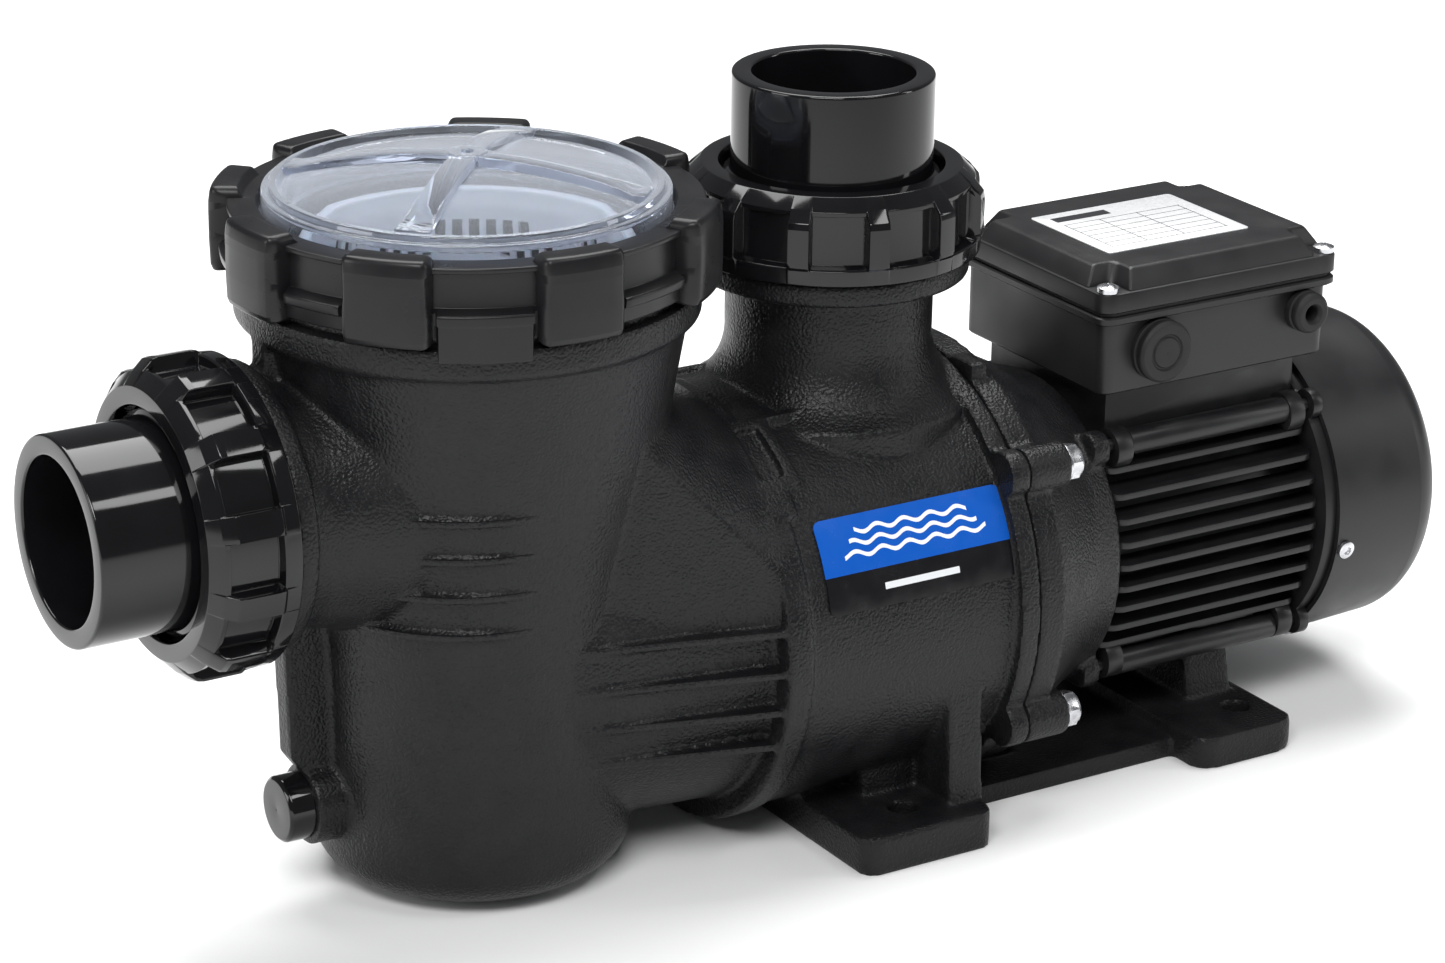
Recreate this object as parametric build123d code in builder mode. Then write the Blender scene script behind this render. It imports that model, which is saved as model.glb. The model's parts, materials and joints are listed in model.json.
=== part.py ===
"""Pool pump with strainer pot: a self-priming plastic pump end on a fan-cooled electric motor.

Frame: +X along the motor shaft from the suction side to the motor, +Z up, millimetres.
The origin is on the mounting plane, straight below the discharge port's axis.
"""
from build123d import *
from math import cos, radians, sin, sqrt
import os

os.makedirs("parts", exist_ok=True)

# ---- driving dimensions (mm) ------------------------------------------------
SUCTION_Z = 156.0            # height of the suction port's axis
MOTOR_Z = 85.0               # height of the shaft
SUCTION_FACE_X = -313.0      # open end of the suction socket
DISCHARGE_TOP_Z = 281.0      # open end of the discharge socket
POT_X = -153.0               # axis of the strainer pot

SOCKET_BORE_R = 30.2         # solvent socket for 2 inch (60.3 mm) pipe
SOCKET_OUTER_R = 37.6
SOCKET_DEPTH = 36.0
WATERWAY_R = 27.0            # bore behind the sockets

NUT_START, NUT_END = 34.0, 66.0      # union nut, measured back from the socket's open end
PORT_FACE = 51.0                     # face of the threaded port, from the same end
PORT_THREAD_R = 49.0
NUT_R = 56.0
NUT_RIBS = 12
NUT_GAP = 0.4                        # clearance between nut and port thread

COLLAR_R = 83.0              # skirt around the pot's mouth
MOUTH_R = 62.5
MOUTH_Z = 244.0              # sealing face of the mouth
RING_R, LUG_R = 84.5, 91.0   # lock ring's wall and its grip lugs
RING_TOP_Z, LUG_TOP_Z = 255.5, 259.0
LUG_ANGLES = (-176, -137, -92, -48, 8, 56, 104, 142)     # where the lugs sit round the ring
TAB_ANGLE = -114.5           # pointer tab between two lugs
LID_WALL_R = 72.3            # clear wall of the lid, inside the ring's lip
LID_RIM_Z = 262.0
LID_APEX_Z = 268.0           # top of the dome, under the hub

VOLUTE_R = 82.0
VOLUTE_X0, VOLUTE_X1 = -58.0, 41.0
BORDER_X0, BORDER_R = -68.0, 84.0    # raised border round the volute's front
THROAT_HALF_Y, THROAT_HALF_Z = 59.0, 73.0    # throat barrel where it leaves the pot
FLANGE_R = 86.0
BOLT_CIRCLE_R = 86.0
BOLT_ANGLES = (38.0, 142.0, 212.0, 328.0)

FRAME_X0, FRAME_X1 = 96.3, 195.0     # finned motor frame
FRAME_R, FIN_R = 50.0, 61.0
TIE_ROD_OFFSET = 45.6                # y and z of the tie rods from the shaft
COVER_X0, COVER_X1 = 200.0, 257.0    # fan cover
COVER_R = 65.8
SHAFT_R = 7.0
RUN_GAP = 0.05                       # running fit between shaft and bearings
BEARING_R = 17.5

FOOT_TOP = 15.0
FOOT_HOLE_R = 5.5
FRONT_HOLE_X, FRONT_HOLE_Y = -9.0, 71.5
REAR_HOLE_X, REAR_HOLE_Y = 161.0, 56.0

BOX_X0, BOX_X1, BOX_HALF_Y = 94.0, 204.0, 46.0   # terminal box
BOX_Z0, BOX_SEAM_Z, BOX_TOP_Z = 151.0, 183.0, 200.0
PLUG_SPOT, GLAND_SPOT = (120.0, 166.8), (190.0, 171.0)   # x and z of the cable entries

shaft_axis = Axis((0, 0, MOTOR_Z), (1, 0, 0))
pot_axis = Axis((POT_X, 0, 0), (0, 0, 1))
pot_plane = Plane(origin=(POT_X, 0, 0), x_dir=(1, 0, 0), z_dir=(0, -1, 0))     # x radius, y height
shaft_plane = Plane(origin=(0, 0, MOTOR_Z), x_dir=(1, 0, 0), z_dir=(0, -1, 0))  # x along, y radius


def keep(builder, name):
    """Label a finished piece and write it to its own STEP file."""
    builder.part.label = name
    export_step(builder.part, f"parts/{name}.step")


def across(x):
    """Plane square to the shaft at x, centred on the shaft, with y across and z up."""
    return Plane(origin=(x, 0, MOTOR_Z), x_dir=(0, 1, 0), z_dir=(1, 0, 0))


def turned(points, plane, axis):
    """Revolve a closed outline of (x, y) points drawn on the plane about the axis."""
    with BuildPart() as ring:
        with BuildSketch(plane):
            with BuildLine():
                Polyline(*points, close=True)
            make_face()
        revolve(axis=axis)
    return ring


def shaft_ring(x0, x1, r0, r1):
    """Plain ring round the shaft from x0 to x1 and from radius r0 to r1."""
    return turned([(x0, r0), (x1, r0), (x1, r1), (x0, r1)], shaft_plane, shaft_axis)


def bolt_spots(radius, angles):
    """(y, z) offsets from the shaft for points at these angles on a circle."""
    return [(radius * cos(radians(a)), radius * sin(radians(a))) for a in angles]


def both_sides(first, last):
    """Sketch a wedge between two angles about the shaft, and its mirror image across y."""
    for side in (-1, 1):
        edges = [(side * 120 * cos(radians(a)), 120 * sin(radians(a))) for a in (first, last)]
        Polygon((0, 0), *edges, align=None)


def corner_spots(offset):
    """The four (y, z) spots at equal offsets from the shaft."""
    return [(y * offset, z * offset) for y in (-1, 1) for z in (-1, 1)]


# ---- pump housing: pot, throat, volute, ports and front foot in one moulding --
with BuildPart() as pump_housing:
    # pot: rounded bottom, body flaring up to the collar, and threaded mouth
    with BuildSketch(pot_plane):
        with BuildLine():
            Polyline((0, 190), (0, 4), (45, 4))
            ThreePointArc((45, 4), (54.5, 8), (58.5, 18))
            Polyline((58.5, 18), (60, 80))
            ThreePointArc((60, 80), (62, 112), (66, 142))
            Polyline((66, 142), (78.3, 213.5), (COLLAR_R - 1.5, 214.5), (COLLAR_R, 216), (COLLAR_R, 226),
                     (78.9, 226), (78.9, 242), (77, MOUTH_Z), (0, MOUTH_Z), (0, 190))
        make_face()
    revolve(axis=pot_axis)

    # crescent shelves on the pot's shoulders, fading out towards the throat
    for shelf_z, wall_r in ((114.0, 62.3), (129.0, 64.2), (144.0, 66.3), (159.0, 68.9)):
        with BuildSketch(Plane.XY.offset(shelf_z - 1.1)):
            with Locations((POT_X - 9.7, -9.7), (POT_X - 9.7, 9.7)):
                Circle(wall_r - 10.5)
        extrude(amount=2.2)

    # suction neck flaring into the pot, port flange and thread
    neck_plane = Plane(origin=(SUCTION_FACE_X, 0, SUCTION_Z), x_dir=(1, 0, 0), z_dir=(0, -1, 0))
    with BuildSketch(neck_plane):
        with BuildLine():
            Polyline((PORT_FACE, 0), (PORT_FACE, PORT_THREAD_R - 1.5), (PORT_FACE + 1.5, PORT_THREAD_R),
                     (NUT_END + 1, PORT_THREAD_R), (NUT_END + 1, 52), (NUT_END + 8, 52),
                     (NUT_END + 10, 46), (NUT_END + 18, 46), (150, 60), (150, 0), close=True)
        make_face()
    revolve(axis=Axis((0, 0, SUCTION_Z), (1, 0, 0)))

    # web above and below the suction neck, and the drain boss it runs into
    with BuildSketch(Plane.XZ.offset(-5)):
        with BuildLine():
            Polyline((-236, 190), (-236, 217), (-205, 217), (-205, 190), close=True)
        make_face()
        with BuildLine():
            Polyline((-222.5, 49), (-229, 58), (-231, 112), (-200, 112), (-200, 49), close=True)
        make_face()
    extrude(amount=10)
    with BuildSketch(Plane.YZ.offset(-223)):
        with Locations((0, 37)):
            Circle(15)
    extrude(amount=28)

    # throat: a hood from the pot down to the volute's border, over a flaring barrel
    with BuildSketch(Plane.YZ.offset(-150)):
        with BuildLine():
            Polyline((-52, 210), (-52, 106), (52, 106), (52, 210))
            ThreePointArc((52, 210), (0, 225), (-52, 210))
        make_face()
    with BuildSketch(Plane.YZ.offset(BORDER_X0 + 6)):
        with BuildLine():
            Polyline((-77.5, 115), (-77.5, 101), (77.5, 101), (77.5, 115))
            ThreePointArc((77.5, 115), (0, 168), (-77.5, 115))
        make_face()
    loft()
    with BuildSketch(across(-150)):
        Ellipse(THROAT_HALF_Y, THROAT_HALF_Z)
    with BuildSketch(across(BORDER_X0 + 6)):
        Ellipse(75.5, 75.4)
    loft()

    # wedge fins along the barrel, flush with the border at their deep ends
    for fin_z in (54.0, 69.0, 84.5, 100.0):
        drop = (fin_z - MOTOR_Z) / THROAT_HALF_Z
        root = THROAT_HALF_Y * sqrt(1 - drop ** 2) - 0.5
        reach = sqrt(BORDER_R ** 2 - (fin_z - MOTOR_Z) ** 2)
        with BuildSketch(Plane.XY.offset(fin_z - 1.3)):
            with BuildLine():
                Polyline((-150, -root), (BORDER_X0 + 6, -reach), (BORDER_X0 + 6, reach), (-150, root),
                         close=True)
            make_face()
        extrude(amount=2.6)

    # volute drum with its front border, rear flange and bolt bosses
    with BuildSketch(across(VOLUTE_X0)):
        Circle(VOLUTE_R)
    extrude(amount=VOLUTE_X1 - VOLUTE_X0)
    with BuildSketch(across(BORDER_X0)):
        Circle(BORDER_R)
    extrude(amount=VOLUTE_X0 - BORDER_X0)
    for first, last, length in ((112, 133, 20), (133, 141, 14)):     # the border steps wider on the shoulders
        with BuildSketch(across(BORDER_X0)):
            both_sides(first, last)
            Circle(BORDER_R + 1, mode=Mode.INTERSECT)
        extrude(amount=length)
    with BuildSketch(across(BORDER_X0 + 5)):
        both_sides(114, 130)
        Circle(VOLUTE_R + 0.2, mode=Mode.SUBTRACT)
    extrude(amount=10, mode=Mode.SUBTRACT)
    with BuildSketch(across(VOLUTE_X1 - 8)):
        Circle(FLANGE_R)
        with Locations(*bolt_spots(BOLT_CIRCLE_R, BOLT_ANGLES)):
            Circle(9)
    extrude(amount=8)
    with BuildSketch(across(VOLUTE_X0)):
        for edge_angle in (68, 112):
            with Locations(*bolt_spots(VOLUTE_R, (edge_angle,))):
                Rectangle(3, 6)
    extrude(amount=VOLUTE_X1 - VOLUTE_X0)

    # discharge neck with a flared root, port flange and thread
    with BuildSketch(Plane.XZ):
        with BuildLine():
            Polyline((0, 140), (54, 140), (54, 158))
            ThreePointArc((54, 158), (44, 167), (39, 186))
            Polyline((39, 186), (39, 203), (52, 206), (52, 214), (PORT_THREAD_R, 214),
                     (PORT_THREAD_R, 228.5), (PORT_THREAD_R - 1.5, 230), (0, 230), (0, 140))
        make_face()
    revolve(axis=Axis.Z)
    with BuildSketch(Plane.XZ.offset(-4)):
        with BuildLine():
            Polyline((30, 150), (30, 196), (41, 176), (41, 150), close=True)
        make_face()
    extrude(amount=8)

    # front foot with its webs
    with BuildSketch():
        with Locations((-9, 0)):
            RectangleRounded(58, 184, 7)
    extrude(amount=FOOT_TOP)
    for side in (-1, 1):
        with BuildSketch(Plane.YZ.offset(6)):
            with BuildLine():
                Polyline((side * 30, 10), (side * 81, 10), (side * 77.5, 68), (side * 60, 90),
                         (side * 30, 60), close=True)
            make_face()
        extrude(amount=15)
        with BuildSketch(Plane.XY.offset(10)):
            with Locations((-6, side * 46)):
                Rectangle(24, 24)
        extrude(amount=18)
    with BuildSketch():
        Rectangle(700, 400)
    extrude(amount=-10, mode=Mode.SUBTRACT)

    with BuildSketch(Plane.YZ.offset(VOLUTE_X1)):       # flat joint face
        Rectangle(300, 195, align=(Align.CENTER, Align.MIN))
    extrude(amount=30, mode=Mode.SUBTRACT)

    # waterways
    with BuildSketch(pot_plane):
        Polygon((0, 12), (50, 12), (53.5, 18), (56, 110), (60.5, 190), (61.5, 236), (MOUTH_R, 236),
                (MOUTH_R, MOUTH_Z), (0, MOUTH_Z), align=None)
    revolve(axis=pot_axis, mode=Mode.SUBTRACT)
    with BuildSketch(Plane.YZ.offset(SUCTION_FACE_X + PORT_FACE)):
        with Locations((0, SUCTION_Z)):
            Circle(WATERWAY_R)
    extrude(amount=70, mode=Mode.SUBTRACT)
    with BuildSketch(Plane.YZ.offset(-130)):
        with Locations((0, MOTOR_Z)):
            Circle(53)
        with Locations((0, 130)):
            RectangleRounded(92, 60, 20)
    extrude(amount=66, mode=Mode.SUBTRACT)
    with BuildSketch(across(-66)):
        Circle(30)
    extrude(amount=20, mode=Mode.SUBTRACT)
    with BuildSketch(across(VOLUTE_X0 + 8)):
        Circle(74)
    extrude(amount=VOLUTE_X1 - VOLUTE_X0 - 8, mode=Mode.SUBTRACT)
    with BuildSketch(Plane.XY.offset(140)):
        Circle(WATERWAY_R)
    extrude(amount=90, mode=Mode.SUBTRACT)
    with BuildSketch(Plane.YZ.offset(-224)):
        with Locations((0, 37)):
            Circle(7.5)
    extrude(amount=30, mode=Mode.SUBTRACT)

    # foot holes and blind holes for the flange bolts
    with BuildSketch():
        with Locations((FRONT_HOLE_X, FRONT_HOLE_Y), (FRONT_HOLE_X, -FRONT_HOLE_Y)):
            Circle(FOOT_HOLE_R)
    extrude(amount=FOOT_TOP, mode=Mode.SUBTRACT)
    with BuildSketch(across(VOLUTE_X1 - 7)):
        with Locations(*bolt_spots(BOLT_CIRCLE_R, BOLT_ANGLES)):
            Circle(4)
    extrude(amount=7, mode=Mode.SUBTRACT)
keep(pump_housing, "pump_housing")


# ---- pipe unions: tailpiece, nut and O-ring, the same on both ports ------------
def union(prefix, end_centre, outward, radial):
    """Solvent-weld union whose socket opens at end_centre and points outward."""
    out, side = Vector(*outward), Vector(*radial)
    section = Plane(origin=end_centre, x_dir=side, z_dir=side.cross(out))   # x radius, y outward
    square = Plane(origin=end_centre, x_dir=side, z_dir=out)
    line = Axis(end_centre, outward)

    tail = turned([(SOCKET_BORE_R + 0.8, 0), (SOCKET_OUTER_R - 1.2, 0), (SOCKET_OUTER_R, -1.2),
                   (SOCKET_OUTER_R, -37), (40.4, -37), (40.4, -42.8), (46.5, -42.8), (46.5, -50.4),
                   (WATERWAY_R, -50.4), (WATERWAY_R, -SOCKET_DEPTH), (SOCKET_BORE_R, -SOCKET_DEPTH),
                   (SOCKET_BORE_R, -0.8)], section, line)
    keep(tail, f"{prefix}_tailpiece")

    thread_r = PORT_THREAD_R + NUT_GAP
    with BuildPart() as nut:
        with BuildSketch(section):
            with BuildLine():
                Polyline((42, -NUT_START), (49, -NUT_START), (53, -NUT_START - 4), (53, -NUT_END + 5),
                         (55, -NUT_END + 4), (55, -NUT_END), (thread_r, -NUT_END), (thread_r, -42.4),
                         (42, -42.4), close=True)
            make_face()
        revolve(axis=line)
        with BuildSketch(square.offset(-NUT_END)):
            with PolarLocations(NUT_R - 2.5, NUT_RIBS, start_angle=180 / NUT_RIBS):
                RectangleRounded(5, 8, 1)
        extrude(amount=NUT_END - NUT_START - 3)
    keep(nut, f"{prefix}_nut")

    seal = turned([(38, -PORT_FACE + 0.1), (42, -PORT_FACE + 0.1), (42, -50.5), (38, -50.5)], section, line)
    keep(seal, f"{prefix}_o_ring")


union("suction", (SUCTION_FACE_X, 0, SUCTION_Z), (-1, 0, 0), (0, 0, 1))
union("discharge", (0, 0, DISCHARGE_TOP_Z), (0, 0, 1), (1, 0, 0))


# ---- strainer lid, lock ring, basket and their seal ----------------------------
lid_seal = turned([(66, MOUTH_Z + 0.05), (70, MOUTH_Z + 0.05), (70, MOUTH_Z + 1.45), (66, MOUTH_Z + 1.45)],
                    pot_plane, pot_axis)
keep(lid_seal, "lid_o_ring")

LID_FOOT = MOUTH_Z + 1.5


def cap_point(apex_z, edge_r, edge_z, r):
    """Point at radius r on the spherical cap through the apex and the edge."""
    drop = apex_z - edge_z
    sphere = (edge_r ** 2 + drop ** 2) / (2 * drop)
    return r, apex_z - sphere + sqrt(sphere ** 2 - r ** 2)


with BuildPart() as strainer_lid:
    with BuildSketch(pot_plane):
        with BuildLine():
            Polyline((0, LID_APEX_Z - 4), (0, LID_APEX_Z))
            ThreePointArc((0, LID_APEX_Z), cap_point(LID_APEX_Z, 66, 259.5, 35), (66, 259.5))
            Polyline((66, 259.5), (67, LID_RIM_Z), (69.4, LID_RIM_Z), (70.2, 260), (LID_WALL_R, 259.5),
                     (LID_WALL_R, 250.4), (76.5, 250.4), (76.5, LID_FOOT), (63.5, LID_FOOT), (63.5, 255.5))
            ThreePointArc((63.5, 255.5), cap_point(LID_APEX_Z - 4, 63.5, 255.5, 34), (0, LID_APEX_Z - 4))
        make_face()
    revolve(axis=pot_axis)
    with BuildSketch(Plane.XY.offset(LID_APEX_Z - 2)):         # hub
        with Locations((POT_X, 0)):
            Circle(7)
    extrude(amount=6)
    for rib_angle in (45, 135):                     # arched cross ribs, parted under the hub
        along = (cos(radians(rib_angle)), sin(radians(rib_angle)), 0)
        rib_plane = Plane(origin=(POT_X, 0, 0), x_dir=along, z_dir=(along[1], -along[0], 0))
        with BuildSketch(rib_plane.offset(-3.5)):
            with BuildLine():
                ThreePointArc((-64, 261.5), (0, LID_APEX_Z + 3.5), (64, 261.5))
                Line((64, 261.5), (64, 257))
                ThreePointArc((64, 257), (0, LID_APEX_Z - 2), (-64, 257))
                Line((-64, 257), (-64, 261.5))
            make_face()
            with Locations((0, 260)):
                Rectangle(9, 60, mode=Mode.SUBTRACT)
        extrude(amount=7)
keep(strainer_lid, "strainer_lid")

with BuildPart() as lock_ring:
    with BuildSketch(pot_plane):
        Polygon((73.2, 250.9), (78, 250.9), (79.3, 249), (79.3, 230), (RING_R, 230),
                (RING_R, RING_TOP_Z - 1.5), (RING_R - 1.5, RING_TOP_Z), (74.5, RING_TOP_Z),
                (73.2, RING_TOP_Z - 1.2), align=None)
    revolve(axis=pot_axis)
    with BuildSketch(pot_plane):
        Polygon((79.3, 236), (87, 236), (87, 239), (79.3, 240.5), align=None)
    revolve(axis=pot_axis)
    with BuildSketch(Plane.XY.offset(228)):
        with Locations((POT_X, 0)):
            for lug_angle in LUG_ANGLES:
                with PolarLocations((79.6 + LUG_R) / 2, 1, start_angle=lug_angle):
                    RectangleRounded(LUG_R - 79.6, 33, 2)
    extrude(amount=LUG_TOP_Z - 228)
    with BuildSketch(Plane.XY.offset(222)):
        with Locations((POT_X, 0)):
            with PolarLocations(85.2, 1, start_angle=TAB_ANGLE):
                Rectangle(3.4, 30)
    extrude(amount=16)
keep(lock_ring, "lock_ring")

basket_shell = turned([(0, 62), (44, 62), (46, 64), (58, 234), (61.8, 236.3), (61.8, 240), (58, 240),
                          (56, 236), (44, 66), (0, 64)], pot_plane, pot_axis)
with BuildPart() as strainer_basket:
    add(basket_shell.part)
    with BuildSketch(Plane.YZ.offset(POT_X - 80)):      # inlet window facing the suction port
        with Locations((0, SUCTION_Z)):
            Circle(26)
    extrude(amount=60, mode=Mode.SUBTRACT)
keep(strainer_basket, "strainer_basket")

# ---- drain plug in the pot's foot ----------------------------------------------
with BuildPart() as drain_o_ring:
    with BuildSketch(Plane.YZ.offset(-224.5)):
        with Locations((0, 37)):
            Circle(11)
            Circle(8, mode=Mode.SUBTRACT)
    extrude(amount=1.4)
keep(drain_o_ring, "drain_o_ring")
with BuildPart() as drain_plug:
    with BuildSketch(Plane.YZ.offset(-224.6)):
        with Locations((0, 37)):
            Circle(12.5)
    extrude(amount=-8.4)
    with BuildSketch(Plane.YZ.offset(-224.6)):
        with Locations((0, 37)):
            Circle(7.2)
    extrude(amount=18)
keep(drain_plug, "drain_plug")


# ---- seal plate, diffuser and the joint between pump and motor ------------------
PLATE_X = VOLUTE_X1 + 0.2
with BuildPart() as seal_plate:
    with BuildSketch(shaft_plane):
        with BuildLine():
            Polyline((PLATE_X, 18.2), (PLATE_X, FLANGE_R), (53, FLANGE_R), (54, 80), (62, 77), (83, 66),
                     (96, 62), (96, 53), (84, 58), (60, 70), (48, 70), (48, 18.2), close=True)
        make_face()
    revolve(axis=shaft_axis)
    with BuildSketch(across(PLATE_X)):
        with Locations(*bolt_spots(BOLT_CIRCLE_R, BOLT_ANGLES)):
            Circle(9)
    extrude(amount=19)
    with BuildSketch(across(PLATE_X)):
        with Locations(*bolt_spots(84, (70, 110))):
            Rectangle(14, 12)
    extrude(amount=8)
    with BuildSketch():
        Rectangle(700, 400)
    extrude(amount=-10, mode=Mode.SUBTRACT)
    with BuildSketch(across(PLATE_X - 1)):
        with Locations(*bolt_spots(BOLT_CIRCLE_R, BOLT_ANGLES)):
            Circle(4)
    extrude(amount=25, mode=Mode.SUBTRACT)
    with BuildSketch(across(88)):               # lugs for the tie rods
        with Locations(*corner_spots(TIE_ROD_OFFSET)):
            Circle(7)
    extrude(amount=8)
    with BuildSketch(across(89.5)):
        with Locations(*corner_spots(TIE_ROD_OFFSET)):
            Circle(2.8)
    extrude(amount=8, mode=Mode.SUBTRACT)
    with BuildSketch(across(PLATE_X - 1)):      # groove for the housing's seal
        Circle(78.5)
        Circle(75, mode=Mode.SUBTRACT)
    extrude(amount=3, mode=Mode.SUBTRACT)
keep(seal_plate, "seal_plate")
keep(shaft_ring(PLATE_X - 0.1, PLATE_X + 1.9, 75.2, 78.3), "housing_o_ring")

with BuildPart() as flange_bolts:
    with BuildSketch(across(PLATE_X + 20.2)):
        with Locations(*bolt_spots(BOLT_CIRCLE_R, BOLT_ANGLES)):
            RegularPolygon(6.6, 6)
    extrude(amount=5.4)
    with BuildSketch(across(VOLUTE_X1 - 6)):
        with Locations(*bolt_spots(BOLT_CIRCLE_R, BOLT_ANGLES)):
            Circle(3.7)
    extrude(amount=26.5)
keep(flange_bolts, "flange_bolts")
with BuildPart() as flange_washers:
    with BuildSketch(across(PLATE_X + 19)):
        with Locations(*bolt_spots(BOLT_CIRCLE_R, BOLT_ANGLES)):
            Circle(7.6)
            Circle(4, mode=Mode.SUBTRACT)
    extrude(amount=1.2)
keep(flange_washers, "flange_washers")

# diffuser: a cup round the impeller whose nose fits the throat
diffuser = turned([(-49.8, 24), (-49.8, 29), (-20, 34), (-16, 64), (34, 64), (34, 60), (-10, 60),
                   (-13, 30), (-44, 24)], shaft_plane, shaft_axis)
keep(diffuser, "diffuser")
keep(shaft_ring(-49.9, -47.5, 30, 33), "diffuser_o_ring")

# mechanical seal: fixed seat in the plate, sprung head on the shaft
keep(shaft_ring(40.5, 48, SHAFT_R + 2, 18), "seal_seat")
seal_head = turned([(28, SHAFT_R), (28, 16), (31, 16), (31, 13), (37, 13), (37, 15), (40.3, 15),
                    (40.3, 9), (37, SHAFT_R)], shaft_plane, shaft_axis)
keep(seal_head, "seal_head")


# ---- rotor: shaft, impeller, rotor core and cooling fan -------------------------
shaft = turned([(-12, 0), (-12, SHAFT_R), (236, SHAFT_R), (238, SHAFT_R - 2), (238, 0)], shaft_plane, shaft_axis)
keep(shaft, "motor_shaft")

with BuildPart() as impeller:
    with BuildSketch(shaft_plane):      # hub with the back shroud, and the front shroud with the eye
        with BuildLine():
            Polyline((-8, SHAFT_R), (-8, 10), (8, 14), (16, 24), (18, 52), (21, 52), (21, 18), (27.8, 14),
                     (27.8, SHAFT_R), close=True)
        make_face()
        with BuildLine():
            Polyline((-9, 20), (-9, 23), (0, 27), (7, 52), (10, 52), (4, 26), close=True)
        make_face()
    revolve(axis=shaft_axis)
    with BuildSketch(across(8)):        # raked vanes joining the two shrouds
        with PolarLocations(37, 7):
            Rectangle(27, 3, rotation=35)
    extrude(amount=11)
keep(impeller, "impeller")

keep(shaft_ring(110, 172, SHAFT_R, 33.4), "rotor_core")

with BuildPart() as cooling_fan:
    with BuildSketch(across(212)):
        Circle(14)
        Circle(SHAFT_R, mode=Mode.SUBTRACT)
    extrude(amount=22)
    with BuildSketch(across(212)):
        Circle(52)
        Circle(SHAFT_R, mode=Mode.SUBTRACT)
    extrude(amount=2.5)
    with BuildSketch(across(212)):
        with PolarLocations(33, 8):
            Rectangle(40, 2.5)
    extrude(amount=20)
keep(cooling_fan, "cooling_fan")


# ---- motor: finned frame, bells, stator, bearings, tie rods ----------------------
with BuildPart() as motor_frame:
    with BuildSketch(across(FRAME_X0)):
        Circle(FRAME_R)
    extrude(amount=FRAME_X1 - FRAME_X0)
    for step in range(-4, 5):           # level fins on both sides
        fin_z = step * 9.0
        tip = sqrt(FIN_R ** 2 - fin_z ** 2)
        with BuildSketch(Plane.XY.offset(MOTOR_Z + fin_z - 1.2)):
            with Locations(((FRAME_X0 + FRAME_X1) / 2, 0)):
                RectangleRounded(FRAME_X1 - FRAME_X0, 2 * tip, 6)
        extrude(amount=2.4)
    for step in range(-3, 4):           # upright fins below
        fin_y = step * 9.0
        tip = sqrt(FIN_R ** 2 - fin_y ** 2)
        with BuildSketch(Plane.XZ.offset(fin_y - 1.2)):
            with Locations(((FRAME_X0 + FRAME_X1) / 2, MOTOR_Z - tip / 2)):
                Rectangle(FRAME_X1 - FRAME_X0, tip)
        extrude(amount=2.4)
    with BuildSketch(Plane.XY.offset(MOTOR_Z + 30)):        # saddle under the terminal box
        with Locations(((BOX_X0 + FRAME_X1) / 2 + 4, 0)):
            Rectangle(FRAME_X1 - BOX_X0 - 10, 76)
    extrude(amount=BOX_Z0 - MOTOR_Z - 30)
    with BuildSketch(across(FRAME_X0 + 4)):                 # lugs that hold the tie rods
        with Locations(*corner_spots(TIE_ROD_OFFSET - 2)):
            Circle(8)
    extrude(amount=7)
    with BuildSketch(across(FRAME_X1 - 11)):
        with Locations(*corner_spots(TIE_ROD_OFFSET - 2)):
            Circle(8)
    extrude(amount=7)
    with BuildSketch(across(FRAME_X0)):
        Circle(47.2)
        with Locations(*corner_spots(TIE_ROD_OFFSET)):
            Circle(2.8)
    extrude(amount=FRAME_X1 - FRAME_X0, mode=Mode.SUBTRACT)
    with BuildSketch(Plane.XY.offset(MOTOR_Z + 40)):        # wire passage into the box
        with Locations((150, 0)):
            Circle(8)
    extrude(amount=40, mode=Mode.SUBTRACT)
keep(motor_frame, "motor_frame")



def end_bell(x0, x1, seat0, seat1, rim_r):
    """Dished motor end: a rim from x0 to x1 with a bearing seat from seat0 to seat1."""
    return turned([(x0, SHAFT_R + 1.5), (x0, rim_r), (x1, rim_r), (x1, rim_r - 9),
                   (seat1, BEARING_R + 4), (seat1, BEARING_R), (seat0, BEARING_R),
                   (seat0, SHAFT_R + 1.5)], shaft_plane, shaft_axis)


front_bell = end_bell(84.3, FRAME_X0 - 0.1, 87, 97.5, 52.4)
keep(front_bell, "front_end_bell")
rear_bell = end_bell(208, FRAME_X1 + 0.1, 205.2, 195.3, 63.2)
with BuildPart() as rear_end_bell:
    add(rear_bell.part)
    with BuildSketch(across(FRAME_X1 + 0.1)):
        with Locations(*corner_spots(TIE_ROD_OFFSET)):
            Circle(6)
    extrude(amount=4.4)
    with BuildSketch(across(FRAME_X1)):
        with Locations(*corner_spots(TIE_ROD_OFFSET)):
            Circle(2.8)
    extrude(amount=8, mode=Mode.SUBTRACT)
keep(rear_end_bell, "rear_end_bell")
keep(shaft_ring(87.1, 97.3, SHAFT_R + RUN_GAP, BEARING_R - 0.05), "front_bearing")
keep(shaft_ring(195.4, 205.1, SHAFT_R + RUN_GAP, BEARING_R - 0.05), "rear_bearing")

keep(shaft_ring(111, 171, 34, 47), "stator_core")
with BuildPart() as stator_windings:
    for end_x in (102.5, 171.1):
        with BuildSketch(shaft_plane):
            with Locations((end_x + 4.2, 40)):
                RectangleRounded(8.4, 11, 3)
        revolve(axis=shaft_axis)
keep(stator_windings, "stator_windings")

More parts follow.
